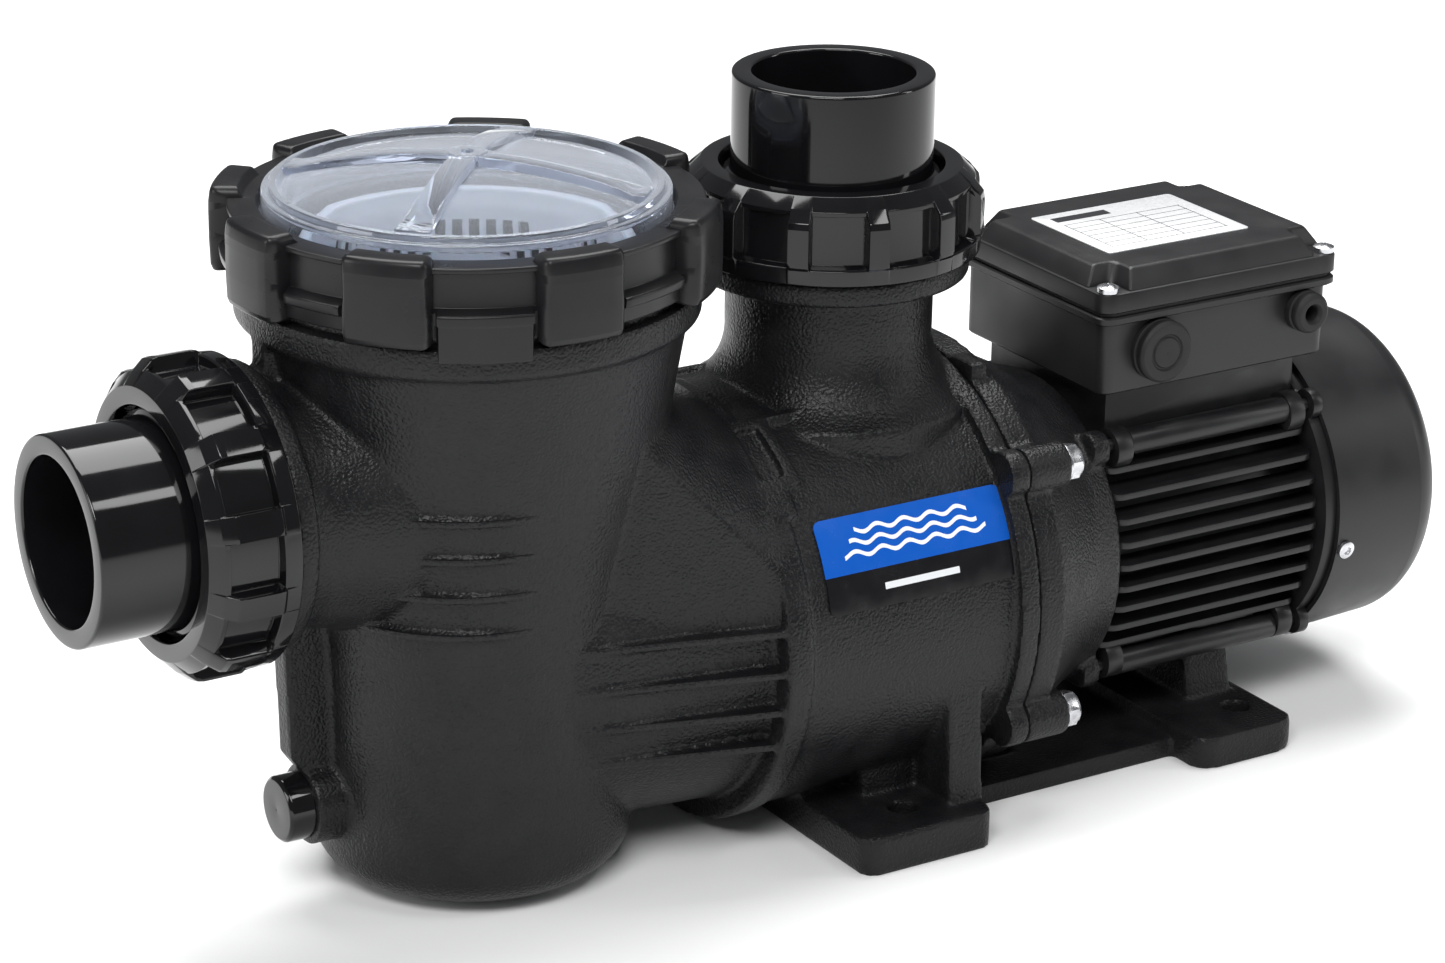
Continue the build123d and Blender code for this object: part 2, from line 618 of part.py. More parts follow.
with BuildPart() as tie_rods:
    with BuildSketch(across(90)):
        with Locations(*corner_spots(TIE_ROD_OFFSET)):
            Circle(2.5)
    extrude(amount=COVER_X0 - 0.6 - 90)
keep(tie_rods, "tie_rods")
with BuildPart() as tie_rod_sleeves:
    with BuildSketch(across(FRAME_X0 + 11.3)):
        with Locations(*corner_spots(TIE_ROD_OFFSET)):
            Circle(5.2)
            Circle(2.8, mode=Mode.SUBTRACT)
    extrude(amount=FRAME_X1 - FRAME_X0 - 22.6)
keep(tie_rod_sleeves, "tie_rod_sleeves")

with BuildPart() as fan_cover:
    with BuildSketch(shaft_plane):
        with BuildLine():
            Polyline((COVER_X0, COVER_R - 2), (COVER_X0, COVER_R), (COVER_X1 - 14, COVER_R - 1.6))
            ThreePointArc((COVER_X1 - 14, COVER_R - 1.6), (COVER_X1 - 4.2, COVER_R - 6.4),
                          (COVER_X1, COVER_R - 16))
            Polyline((COVER_X1, COVER_R - 16), (COVER_X1, 0), (COVER_X1 - 2, 0), (COVER_X1 - 2, COVER_R - 16))
            ThreePointArc((COVER_X1 - 2, COVER_R - 16), (COVER_X1 - 5.8, COVER_R - 7.8),
                          (COVER_X1 - 14, COVER_R - 3.6))
            Line((COVER_X1 - 14, COVER_R - 3.6), (COVER_X0, COVER_R - 2))
        make_face()
    revolve(axis=shaft_axis)
    with BuildSketch(across(COVER_X1 - 3)):             # air inlet grille: rings of slots
        for ring_radius in (18, 27, 36, 45):
            with PolarLocations(ring_radius, round(ring_radius * 0.45)):
                SlotOverall(9.5, 4.2, rotation=90)
    extrude(amount=4, mode=Mode.SUBTRACT)
keep(fan_cover, "fan_cover")

COVER_SCREW_ANGLES = (189.4, 237, 303, 350.6)
with BuildPart() as fan_cover_screws:
    for screw_angle in COVER_SCREW_ANGLES:
        radial = (0, cos(radians(screw_angle)), sin(radians(screw_angle)))
        head_plane = Plane(origin=(205.4 - 1.2, 0, MOTOR_Z), x_dir=(1, 0, 0), z_dir=radial).offset(COVER_R)
        with BuildSketch(head_plane):
            Circle(3.6)
            RegularPolygon(1.6, 6, mode=Mode.SUBTRACT)
        extrude(amount=2.2)
keep(fan_cover_screws, "fan_cover_screws")


# ---- terminal box on top of the motor --------------------------------------------
BOX_MID = (BOX_X0 + BOX_X1) / 2
BOX_LEN = BOX_X1 - BOX_X0
with BuildPart() as terminal_box:
    with BuildSketch(Plane.XY.offset(BOX_Z0 + 0.1)):
        with Locations((BOX_MID, 0)):
            RectangleRounded(BOX_LEN - 4, 2 * BOX_HALF_Y, 6)
    extrude(amount=BOX_SEAM_Z - BOX_Z0 - 0.1)
    with BuildSketch(Plane.XY.offset(BOX_SEAM_Z - 3.4)):
        with Locations((BOX_MID, 0)):
            RectangleRounded(BOX_LEN + 4, 2 * BOX_HALF_Y + 6, 7)
    extrude(amount=3.4)
    with BuildSketch(Plane.XY.offset(BOX_Z0 + 3)):
        with Locations((BOX_MID, 0)):
            RectangleRounded(BOX_LEN - 10, 2 * BOX_HALF_Y - 6, 4)
    extrude(amount=40, mode=Mode.SUBTRACT)
    with BuildSketch(Plane.XY.offset(BOX_Z0)):
        with Locations((150, 0)):
            Circle(8)
    extrude(amount=4, mode=Mode.SUBTRACT)
    with BuildSketch(Plane.XZ.offset(BOX_HALF_Y - 6)):      # entries for the plug and the gland
        with Locations(PLUG_SPOT):
            Circle(9.2)
        with Locations(GLAND_SPOT):
            Circle(5.2)
    extrude(amount=10, mode=Mode.SUBTRACT)
keep(terminal_box, "terminal_box")

with BuildPart() as box_gasket:
    with BuildSketch(Plane.XY.offset(BOX_SEAM_Z + 0.1)):
        with Locations((BOX_MID, 0)):
            RectangleRounded(BOX_LEN + 1, 2 * BOX_HALF_Y + 3, 6)
            RectangleRounded(BOX_LEN - 8, 2 * BOX_HALF_Y - 5, 4, mode=Mode.SUBTRACT)
    extrude(amount=1.2)
keep(box_gasket, "box_gasket")

LID_SCREW_X, LID_SCREW_Y = (97.0, 201.0), 44.0
with BuildPart() as terminal_box_lid:
    with BuildSketch(Plane.XY.offset(BOX_SEAM_Z + 1.4)):
        with Locations((BOX_MID, 0)):
            RectangleRounded(BOX_LEN + 4, 2 * BOX_HALF_Y + 6, 7)
    extrude(amount=8)
    with BuildSketch(Plane.XY.offset(BOX_SEAM_Z + 9.4)):
        with Locations((BOX_MID - 6, 0)):
            Rectangle(BOX_LEN - 16, 2 * BOX_HALF_Y + 2)
        with Locations((BOX_MID, 0)):
            Rectangle(BOX_LEN + 2, 2 * BOX_HALF_Y - 14)
        for corner_x in LID_SCREW_X:
            with Locations((corner_x, LID_SCREW_Y), (corner_x, -LID_SCREW_Y)):
                Circle(7, mode=Mode.SUBTRACT)
    extrude(amount=BOX_TOP_Z - BOX_SEAM_Z - 9.4)
    with BuildSketch(Plane.XY.offset(BOX_SEAM_Z + 1.4)):
        with Locations((BOX_MID, 0)):
            RectangleRounded(BOX_LEN - 10, 2 * BOX_HALF_Y - 8, 4)
    extrude(amount=BOX_TOP_Z - BOX_SEAM_Z - 4.4, mode=Mode.SUBTRACT)
keep(terminal_box_lid, "terminal_box_lid")

with BuildPart() as box_screws:
    for corner_x in LID_SCREW_X:
        with BuildSketch(Plane.XY.offset(BOX_SEAM_Z + 9.45)):
            with Locations((corner_x, LID_SCREW_Y), (corner_x, -LID_SCREW_Y)):
                Circle(4)
        extrude(amount=3)
keep(box_screws, "box_screws")

with BuildPart() as rating_plate:
    with BuildSketch(Plane.XY.offset(BOX_TOP_Z + 0.02)):
        with Locations((144.5, 0)):
            RectangleRounded(68, 52, 2)
    extrude(amount=0.5)
keep(rating_plate, "rating_plate")

with BuildPart() as conduit_plug:
    with BuildSketch(Plane.XZ.offset(BOX_HALF_Y - 5)):
        with Locations(PLUG_SPOT):
            Circle(9)
    extrude(amount=5.1)
    with BuildSketch(Plane.XZ.offset(BOX_HALF_Y + 0.05)):
        with Locations(PLUG_SPOT):
            Circle(12.3)
    extrude(amount=7)
keep(conduit_plug, "conduit_plug")

with BuildPart() as cable_gland:
    with BuildSketch(Plane.XZ.offset(BOX_HALF_Y - 5)):
        with Locations(GLAND_SPOT):
            Circle(5)
    extrude(amount=5.1)
    with BuildSketch(Plane.XZ.offset(BOX_HALF_Y + 0.05)):
        with Locations(GLAND_SPOT):
            Circle(8.3)
    extrude(amount=8)
    with BuildSketch(Plane.XZ.offset(BOX_HALF_Y - 5)):
        with Locations(GLAND_SPOT):
            Circle(3.2)
    extrude(amount=14, mode=Mode.SUBTRACT)
keep(cable_gland, "cable_gland")

with BuildPart() as terminal_block:
    with BuildSketch(Plane.XY.offset(BOX_Z0 + 3.1)):
        with Locations((118, 0)):
            Rectangle(14, 40)
    extrude(amount=14)
keep(terminal_block, "terminal_block")
with BuildPart() as capacitor:
    with BuildSketch(Plane.XZ.offset(-32)):
        with Locations((178, BOX_Z0 + 18.3)):
            Circle(15)
    extrude(amount=64)
keep(capacitor, "capacitor")


# ---- label on the volute -----------------------------------------------------------
LABEL_A0, LABEL_A1 = 143.0, 168.0      # angles of the label's edges round the shaft
with BuildPart() as body_label:
    with BuildSketch(across(-49)):
        with BuildLine():
            inner, outer = VOLUTE_R + 0.02, VOLUTE_R + 0.5
            corners = {(r, a): (r * cos(radians(a)), r * sin(radians(a)))
                       for r in (inner, outer) for a in (LABEL_A0, (LABEL_A0 + LABEL_A1) / 2, LABEL_A1)}
            mid = (LABEL_A0 + LABEL_A1) / 2
            ThreePointArc(corners[inner, LABEL_A0], corners[inner, mid], corners[inner, LABEL_A1])
            Line(corners[inner, LABEL_A1], corners[outer, LABEL_A1])
            ThreePointArc(corners[outer, LABEL_A1], corners[outer, mid], corners[outer, LABEL_A0])
            Line(corners[outer, LABEL_A0], corners[inner, LABEL_A0])
        make_face()
    extrude(amount=81.9)
keep(body_label, "body_label")


# ---- motor base: rail, rear feet and pedestal ---------------------------------------
with BuildPart() as motor_base:
    with BuildSketch():
        with Locations((81, 0)):
            Rectangle(117.6, 120)
    extrude(amount=8)
    with BuildSketch():
        with Locations((151, 0)):
            RectangleRounded(48, 156, 8)
    extrude(amount=13)
    for side in (-1, 1):
        with BuildSketch(Plane.YZ.offset(146)):
            with BuildLine():
                Polyline((side * 20, 8), (side * 45, 8), (side * 39.6, 33), (side * 39.6, 46),
                         (side * 20, 46), close=True)
            make_face()
        extrude(amount=22)
    with BuildSketch(Plane.YZ.offset(146)):
        Rectangle(44, 20, align=(Align.CENTER, Align.MIN))
    extrude(amount=22)
    with BuildSketch(across(140)):                   # saddle hollow for the motor
        Circle(FIN_R + 0.3)
    extrude(amount=40, mode=Mode.SUBTRACT)
    with BuildSketch(across(20)):                    # clearance under the pump's flange
        Circle(FLANGE_R + 1)
    extrude(amount=46, mode=Mode.SUBTRACT)
    with BuildSketch():
        with Locations((REAR_HOLE_X, REAR_HOLE_Y), (REAR_HOLE_X, -REAR_HOLE_Y)):
            Circle(FOOT_HOLE_R)
    extrude(amount=30, mode=Mode.SUBTRACT)
keep(motor_base, "motor_base")
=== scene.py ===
# %% [markdown]
# # A pool pump, dressed piece by piece
# The frame holds the working model: every part at its real size and place, with its joints.
# This notebook puts finished surfaces over it. Moulded plastic, satin paint, polished union
# nuts and a clear lid each get their own shape and their own finish.
# The first cell loads the frame.

# %% Load the frame
import json
import math
import bpy
import bmesh
import numpy as np
from mathutils import Matrix, Vector

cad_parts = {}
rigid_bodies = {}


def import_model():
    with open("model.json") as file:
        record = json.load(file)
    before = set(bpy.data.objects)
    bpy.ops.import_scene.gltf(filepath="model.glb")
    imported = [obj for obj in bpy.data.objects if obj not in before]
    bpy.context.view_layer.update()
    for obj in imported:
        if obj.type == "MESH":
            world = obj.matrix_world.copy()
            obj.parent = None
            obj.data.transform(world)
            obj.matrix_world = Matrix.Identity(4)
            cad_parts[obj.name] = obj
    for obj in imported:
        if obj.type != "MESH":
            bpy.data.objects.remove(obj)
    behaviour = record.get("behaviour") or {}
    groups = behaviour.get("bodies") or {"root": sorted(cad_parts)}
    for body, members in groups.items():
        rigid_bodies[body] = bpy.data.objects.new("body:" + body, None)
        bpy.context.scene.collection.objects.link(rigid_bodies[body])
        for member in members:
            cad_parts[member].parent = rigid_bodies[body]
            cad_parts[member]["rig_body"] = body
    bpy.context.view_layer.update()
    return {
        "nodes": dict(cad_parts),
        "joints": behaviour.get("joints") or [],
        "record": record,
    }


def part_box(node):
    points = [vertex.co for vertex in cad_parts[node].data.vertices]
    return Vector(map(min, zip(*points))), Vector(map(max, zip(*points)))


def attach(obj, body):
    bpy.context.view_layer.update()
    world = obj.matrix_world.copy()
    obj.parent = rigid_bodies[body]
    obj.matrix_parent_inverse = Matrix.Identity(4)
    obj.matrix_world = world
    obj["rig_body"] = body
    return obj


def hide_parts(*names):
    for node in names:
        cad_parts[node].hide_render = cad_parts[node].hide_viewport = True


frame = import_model()
MM = 0.001
mounts = {m["name"]: m for m in frame["record"]["mounts"]}
joints = {j["name"]: j for j in frame["joints"]}

# %% [markdown]
# ## Where things are
# The main heights and axes come from the joints, the mounts and the boxes of the frame's
# nodes. The small details of a moulding, such as lugs and fins, are sizes in millimetres that
# are written where the detail is made.

# %% Axes and heights, in millimetres
SHAFT_Z = joints["shaft_spin"]["pos_m"][2] / MM
POT_X = joints["ring_turn"]["pos_m"][0] / MM
SUCTION_Z = mounts["suction_socket"]["pos_m"][2] / MM


def span(node):
    """A node's lowest and highest corners in millimetres."""
    low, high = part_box(node)
    return np.array(low) / MM, np.array(high) / MM


SUCTION_X = span("suction_tailpiece")[0][0]
DISCHARGE_Z = span("discharge_tailpiece")[1][2]
BORE_R = mounts["suction_socket"]["dims"]["r_mm"]
POT_AXIS = ((POT_X, 0, 0), (0, 0, 1), (1, 0, 0))     # a point, the axis, and where the angle is 0
print("shaft at z", SHAFT_Z, "pot at x", POT_X, "sockets end at", SUCTION_X, DISCHARGE_Z)

# %% [markdown]
# ## Camera first
# A long lens from the left front and a little above, as a maker's catalogue shows such a pump.
# The view is given as degrees of turn, tilt and roll from the pump's own axes.

# %% The camera
CAMERA_AT = (-0.8435, -1.2758, 0.6947)
CAMERA_YAW, CAMERA_PITCH, CAMERA_ROLL = math.radians(32.02), math.radians(20.63), math.radians(0.79)
LENS_MM, SENSOR_MM = 107.1, 36.0


def aim(yaw, pitch, roll):
    """Camera axes from a turn about z, a tilt down and a roll: right, up and backward."""
    forward = Vector((math.sin(yaw) * math.cos(pitch), math.cos(yaw) * math.cos(pitch), -math.sin(pitch)))
    right = Vector((math.cos(yaw), -math.sin(yaw), 0))
    up = right.cross(forward)
    turned_right = right * math.cos(roll) + up * math.sin(roll)
    turned_up = up * math.cos(roll) - right * math.sin(roll)
    return Matrix((turned_right, turned_up, -forward)).transposed()


lens = bpy.data.cameras.new("catalogue_lens")
lens.lens, lens.sensor_width = LENS_MM, SENSOR_MM
lens.clip_end = 20
camera = bpy.data.objects.new("catalogue_camera", lens)
camera.matrix_world = Matrix.Translation(CAMERA_AT) @ aim(CAMERA_YAW, CAMERA_PITCH, CAMERA_ROLL).to_4x4()
bpy.context.collection.objects.link(camera)
bpy.context.scene.camera = camera
print("camera at", CAMERA_AT, "with a lens of", LENS_MM, "mm")

# %% [markdown]
# ## Surfaces from arrays
# Most of the pump is turned or swept, so most pieces are a closed section carried round an
# axis. The section may change on the way round, which is how ribs and lugs are made: the
# points stay in rows and columns, and only their radius and height change.
# A few helpers turn such arrays into meshes.


# %% Helpers: arrays to meshes
def keep_mesh(name, points, faces, smooth=True):
    """Mesh object from points in millimetres and a face list, with sharp edges kept by angle."""
    mesh = bpy.data.meshes.new(name)
    mesh.from_pydata((np.asarray(points, float) * MM).tolist(), [], [list(map(int, f)) for f in faces])
    mesh.validate()
    obj = bpy.data.objects.new(name, mesh)
    bpy.context.collection.objects.link(obj)
    tidy_normals(obj)
    if smooth:
        shade(obj)
    return obj


def tidy_normals(obj):
    """Merge doubled points and turn every face outwards."""
    work = bmesh.new()
    work.from_mesh(obj.data)
    bmesh.ops.remove_doubles(work, verts=work.verts, dist=1e-7)
    bmesh.ops.recalc_face_normals(work, faces=work.faces)
    work.to_mesh(obj.data)
    work.free()


def shade(obj, degrees=32):
    """Smooth shading that leaves edges sharper than the angle crisp."""
    obj.data.shade_smooth()
    obj.data.set_sharp_from_angle(angle=math.radians(degrees))


def quads(rows, columns, close_rows, close_columns, first=0):
    """Faces of a grid of rows by columns of points, numbered row by row from first."""
    i = np.arange(rows if close_rows else rows - 1)[:, None]
    j = np.arange(columns if close_columns else columns - 1)[None, :]
    a = i * columns + j
    b = i * columns + (j + 1) % columns
    c = ((i + 1) % rows) * columns + (j + 1) % columns
    d = ((i + 1) % rows) * columns + j
    return first + np.stack([a, b, c, d], -1).reshape(-1, 4)


def axes(outward, radial):
    """Unit vectors along the axis, along the zero angle, and square to both."""
    w, u = np.array(outward, float), np.array(radial, float)
    return w, u, np.cross(w, u)


def carry(name, radius, along, angles, centre, outward, radial):
    """Closed section carried round an axis. Point = centre + along * axis
    + radius * (cos angle * zero direction + sin angle * side direction)."""
    w, u, v = axes(outward, radial)
    a = np.asarray(angles)[:, None, None]
    points = (np.array(centre) + along[..., None] * w
              + radius[..., None] * (np.cos(a) * u + np.sin(a) * v))
    rows, columns = points.shape[:2]
    return keep_mesh(name, points.reshape(-1, 3), quads(rows, columns, True, True))


def lathe(name, section, centre, outward, radial, count=128):
    """A closed (radius, along) section turned once round the axis."""
    angles = np.linspace(0, 2 * np.pi, count, endpoint=False)
    section = np.asarray(section, float)
    tile = np.broadcast_to(section, (count, *section.shape))
    return carry(name, tile[..., 0], tile[..., 1], angles, centre, outward, radial)


# %% [markdown]
# Real mouldings have no knife edges. `rounded` takes the corners of an outline, each with its
# own radius, and puts an arc in each corner, so highlights run along every edge.


# %% Helpers: rounded outlines
def rounded(corners, radius=0.6, steps=4):
    """Closed outline with an arc in each corner. Each corner is (x, y) or (x, y, radius).
    The arc's points are a quadratic blend between the two tangent points and the corner."""
    pts = np.array([c[:2] for c in corners], float)
    radii = np.array([c[2] if len(c) > 2 else radius for c in corners])
    before, after = np.roll(pts, 1, 0) - pts, np.roll(pts, -1, 0) - pts
    lb, la = np.linalg.norm(before, axis=1), np.linalg.norm(after, axis=1)
    half = 0.5 * np.arccos(np.clip((before * after).sum(1) / (lb * la), -1, 1))
    reach = np.minimum(radii / np.tan(np.maximum(half, 0.05)), 0.46 * np.minimum(lb, la))
    start, end = pts + before * (reach / lb)[:, None], pts + after * (reach / la)[:, None]
    t = np.linspace(0, 1, steps + 1)[None, :, None]
    arc = (1 - t) ** 2 * start[:, None] + 2 * t * (1 - t) * pts[:, None] + t ** 2 * end[:, None]
    return arc.reshape(-1, 2)


def ease(value, low, high):
    """Smooth step from 0 at low to 1 at high."""
    t = np.clip((value - low) / (high - low), 0, 1)
    return t * t * (3 - 2 * t)


def bevelled(obj, width, degrees=30):
    """Apply a bevel to the sharp edges, and shade the result."""
    mod = obj.modifiers.new("edge_round", "BEVEL")
    mod.width, mod.segments, mod.limit_method = width * MM, 2, "ANGLE"
    mod.angle_limit = math.radians(degrees)
    mod.harden_normals = False
    return bake_modifiers(obj)


def bake_modifiers(obj):
    """Replace the mesh by its evaluated one and drop the modifiers."""
    graph = bpy.context.evaluated_depsgraph_get()
    graph.update()
    made = bpy.data.meshes.new_from_object(obj.evaluated_get(graph))
    obj.modifiers.clear()
    obj.data = made
    shade(obj)
    return obj


def prism_faces(count):
    """Faces of a prism whose base points come first and whose top points follow."""
    side = [[i, (i + 1) % count, (i + 1) % count + count, i + count] for i in range(count)]
    return side + [list(range(count))[::-1], list(range(count, 2 * count))]


def slab(name, outline, origin, depth, edge):
    """Level plate with this outline, grown upwards by its depth, its edges rounded."""
    base = np.array(origin) + np.column_stack([outline, np.zeros(len(outline))])
    points = np.vstack([base, base + np.array([0, 0, depth])])
    return bevelled(keep_mesh(name, points, prism_faces(len(base)), smooth=False), edge)


def joined(name, pieces):
    """One object from several, under a new name."""
    work = bmesh.new()
    for piece in pieces:
        work.from_mesh(piece.data)
    mesh = bpy.data.meshes.new(name)
    work.to_mesh(mesh)
    work.free()
    for piece in pieces:
        bpy.data.objects.remove(piece)
    obj = bpy.data.objects.new(name, mesh)
    bpy.context.collection.objects.link(obj)
    shade(obj)
    return obj


def rounded_rectangle(width, height, radius, centre=(0, 0), steps=6):
    """Corners of a rectangle with arcs, anticlockwise from the lower left."""
    w, h = width / 2, height / 2
    cx, cy = centre
    box = [(cx - w, cy - h), (cx + w, cy - h), (cx + w, cy + h), (cx - w, cy + h)]
    return rounded(box, radius, steps)


def stack(name, loops):
    """Closed skin through loops of equal point counts, one above the other, capped at both ends."""
    loops = np.array(loops, float)
    rows, columns = loops.shape[:2]
    faces = quads(rows, columns, False, True).tolist()
    faces += [list(range(columns))[::-1], list(range((rows - 1) * columns, rows * columns))]
    return keep_mesh(name, loops.reshape(-1, 3), faces)


def settle(obj, body, material, *nodes):
    """Give a finished piece its material, the body it rides on, and the nodes it stands for."""
    obj.data.materials.clear()
    obj.data.materials.append(material)
    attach(obj, body)
    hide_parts(*nodes)
    faces = len(obj.data.polygons)
    print(f"{obj.name}: {faces} faces, rides on {body}, stands for {', '.join(nodes)}")
    return obj


# %% [markdown]
# ## Studio
# A white floor and five soft panels. Black plastic shows mostly what it mirrors, so each panel
# has a job: one high on the left for the broad sheen, a wide one overhead, a weak one low on
# the left, a narrow one on the right that draws a line along the edges, and a small one whose
# mirror image is the bright band on the polished sockets.

# %% Floor and lights
scene = bpy.context.scene
scene.view_settings.view_transform = "Standard"
scene.view_settings.look = "None"


def shader_of(name, colour, roughness, metallic=0.0, specular=0.5):
    """A material with its steady values set on the shader's own sockets."""
    material = bpy.data.materials.new(name)
    material.use_nodes = True
    shader = material.node_tree.nodes["Principled BSDF"]
    shader.inputs["Base Color"].default_value = (*colour, 1)
    shader.inputs["Roughness"].default_value = roughness
    shader.inputs["Metallic"].default_value = metallic
    shader.inputs["Specular IOR Level"].default_value = specular
    return material, shader


def lay_floor(half=9.0):
    """A square floor at height zero, far larger than the view."""
    mesh = bpy.data.meshes.new("studio_floor")
    corners = [(-half, -half, 0), (half, -half, 0), (half, half, 0), (-half, half, 0)]
    mesh.from_pydata(corners, [], [(0, 1, 2, 3)])
    floor = bpy.data.objects.new("studio_floor", mesh)
    bpy.context.collection.objects.link(floor)
    mesh.materials.append(shader_of("studio_paper", (0.93, 0.93, 0.93), 0.9, specular=0.1)[0])


def soft_light(name, spot, target, size, power):
    """A rectangular area light at spot, turned to face target."""
    data = bpy.data.lights.new(name, "AREA")
    data.shape, data.size, data.size_y, data.energy = "RECTANGLE", size[0], size[1], power
    light = bpy.data.objects.new(name, data)
    light.location = spot
    light.rotation_euler = (Vector(target) - Vector(spot)).to_track_quat("-Z", "Y").to_euler()
    bpy.context.collection.objects.link(light)


lay_floor()
world = bpy.data.worlds.new("studio_air")
world.use_nodes = True
world.node_tree.nodes["Background"].inputs["Color"].default_value = (0.96, 0.98, 1, 1)
world.node_tree.nodes["Background"].inputs["Strength"].default_value = 0.17
scene.world = world
PUMP_MIDDLE = (-0.03, 0, 0.12)
soft_light("key_panel", (-1.3, -1.5, 2.1), PUMP_MIDDLE, (1.5, 0.8), 46)
soft_light("top_panel", (0.2, 0.7, 2.3), PUMP_MIDDLE, (2.4, 1.5), 88)
soft_light("left_panel", (-2.4, 0.2, 0.8), PUMP_MIDDLE, (0.9, 0.8), 12)
soft_light("right_strip", (2.0, -1.2, 0.9), PUMP_MIDDLE, (0.35, 1.4), 8)
soft_light("union_strip", (0.54, -1.37, 2.03), (-0.34, 0, 0.16), (0.75, 0.38), 8)

# %% [markdown]
# ## Finishes
# Every finish reads Object coordinates, so a pattern sits in the material like grain in a
# mould. Colour and roughness wander a little, and a bump gives the surface its texture at
# real size: the grain of the pump body is about a millimetre across.


# %% Finish helpers
def new_node(material, kind, **inputs):
    """Add a shader node and set some of its inputs by name."""
    node = material.node_tree.nodes.new(kind)
    for key, value in inputs.items():
        node.inputs[key.replace("_", " ")].default_value = value
    return node


def vary(material, source, socket, low, high, start=0.35, end=0.65):
    """Drive a socket from a 0-1 source: linear from low at start to high at end."""
    band = new_node(material, "ShaderNodeMapRange", From_Min=start, From_Max=end, To_Min=low, To_Max=high)
    material.node_tree.links.new(source, band.inputs["Value"])
    material.node_tree.links.new(band.outputs["Result"], socket)


def tint(material, source, shader, dark, light, start=0.35, end=0.65):
    """Colour that runs from dark to light as the source goes from start to end."""
    ramp = material.node_tree.nodes.new("ShaderNodeValToRGB")
    ramp.color_ramp.elements[0].position, ramp.color_ramp.elements[1].position = start, end
    ramp.color_ramp.elements[0].color, ramp.color_ramp.elements[1].color = (*dark, 1), (*light, 1)
    material.node_tree.links.new(source, ramp.inputs["Fac"])
    material.node_tree.links.new(ramp.outputs["Color"], shader.inputs["Base Color"])


def raise_bump(material, source, shader, depth_mm):
    """Bump from a height source, its depth in millimetres."""
    bump = new_node(material, "ShaderNodeBump", Strength=1.0, Distance=depth_mm * MM)
    material.node_tree.links.new(source, bump.inputs["Height"])
    material.node_tree.links.new(bump.outputs["Normal"], shader.inputs["Normal"])


def object_noise(material, size_mm, detail=3.0):
    """Noise whose features are about size_mm across, on Object coordinates."""
    place = new_node(material, "ShaderNodeTexCoord")
    noise = new_node(material, "ShaderNodeTexNoise", Scale=1 / (size_mm * MM), Detail=detail)
    material.node_tree.links.new(place.outputs["Object"], noise.inputs["Vector"])
    return noise.outputs["Fac"]


def plastic(name, dark, light, rough, blotch_mm, grain_mm, grain_depth, specular=0.5, metallic=0.0):
    """Finish with slow colour and gloss changes and a fine bump."""
    material, shader = shader_of(name, dark, rough[0], metallic, specular)
    blotch = object_noise(material, blotch_mm, 4.0)
    tint(material, blotch, shader, dark, light)
    vary(material, blotch, shader.inputs["Roughness"], *rough)
    raise_bump(material, object_noise(material, grain_mm, 2.0), shader, grain_depth)
    return material


# %% [markdown]
# Printed artwork, such as the label's waves and the plate's table, is worked out from a place
# on the piece: a mask that is 1 inside each mark, and a colour laid over what is under it.


# %% Pattern helpers, for printed artwork
def maths(material, kind, *values):
    """One arithmetic node; each value is a number or another node's output."""
    node = material.node_tree.nodes.new("ShaderNodeMath")
    node.operation = kind
    for socket, value in zip(node.inputs, values):
        if isinstance(value, (int, float)):
            socket.default_value = value
        else:
            material.node_tree.links.new(value, socket)
    return node.outputs["Value"]


def times(material, first, second):
    """Product of two values, so of two masks the part where both are 1."""
    return maths(material, "MULTIPLY", first, second)


def band(material, value, low, high):
    """1 where the value lies between low and high, else 0."""
    above = maths(material, "GREATER_THAN", value, low)
    return times(material, above, maths(material, "LESS_THAN", value, high))


def flat_place(material, place, output):
    """The first two coordinates that a coordinate node gives."""
    split = new_node(material, "ShaderNodeSeparateXYZ")
    material.node_tree.links.new(place.outputs[output], split.inputs["Vector"])
    return split.outputs["X"], split.outputs["Y"]


def layer(material, mask, under, colour):
    """Paint a colour over what is under it wherever the mask is 1."""
    mix = material.node_tree.nodes.new("ShaderNodeMix")
    mix.data_type = "RGBA"
    material.node_tree.links.new(mask, mix.inputs["Factor"])
    if isinstance(under, tuple):
        mix.inputs["A"].default_value = (*under, 1)
    else:
        material.node_tree.links.new(under, mix.inputs["A"])
    mix.inputs["B"].default_value = (*colour, 1)
    return mix.outputs["Result"]


# %% [markdown]
# The pump body has a moulded leather grain: small rounded cells with fine valleys. Cells of a
# Voronoi pattern give that, once noise has bent their straight borders.


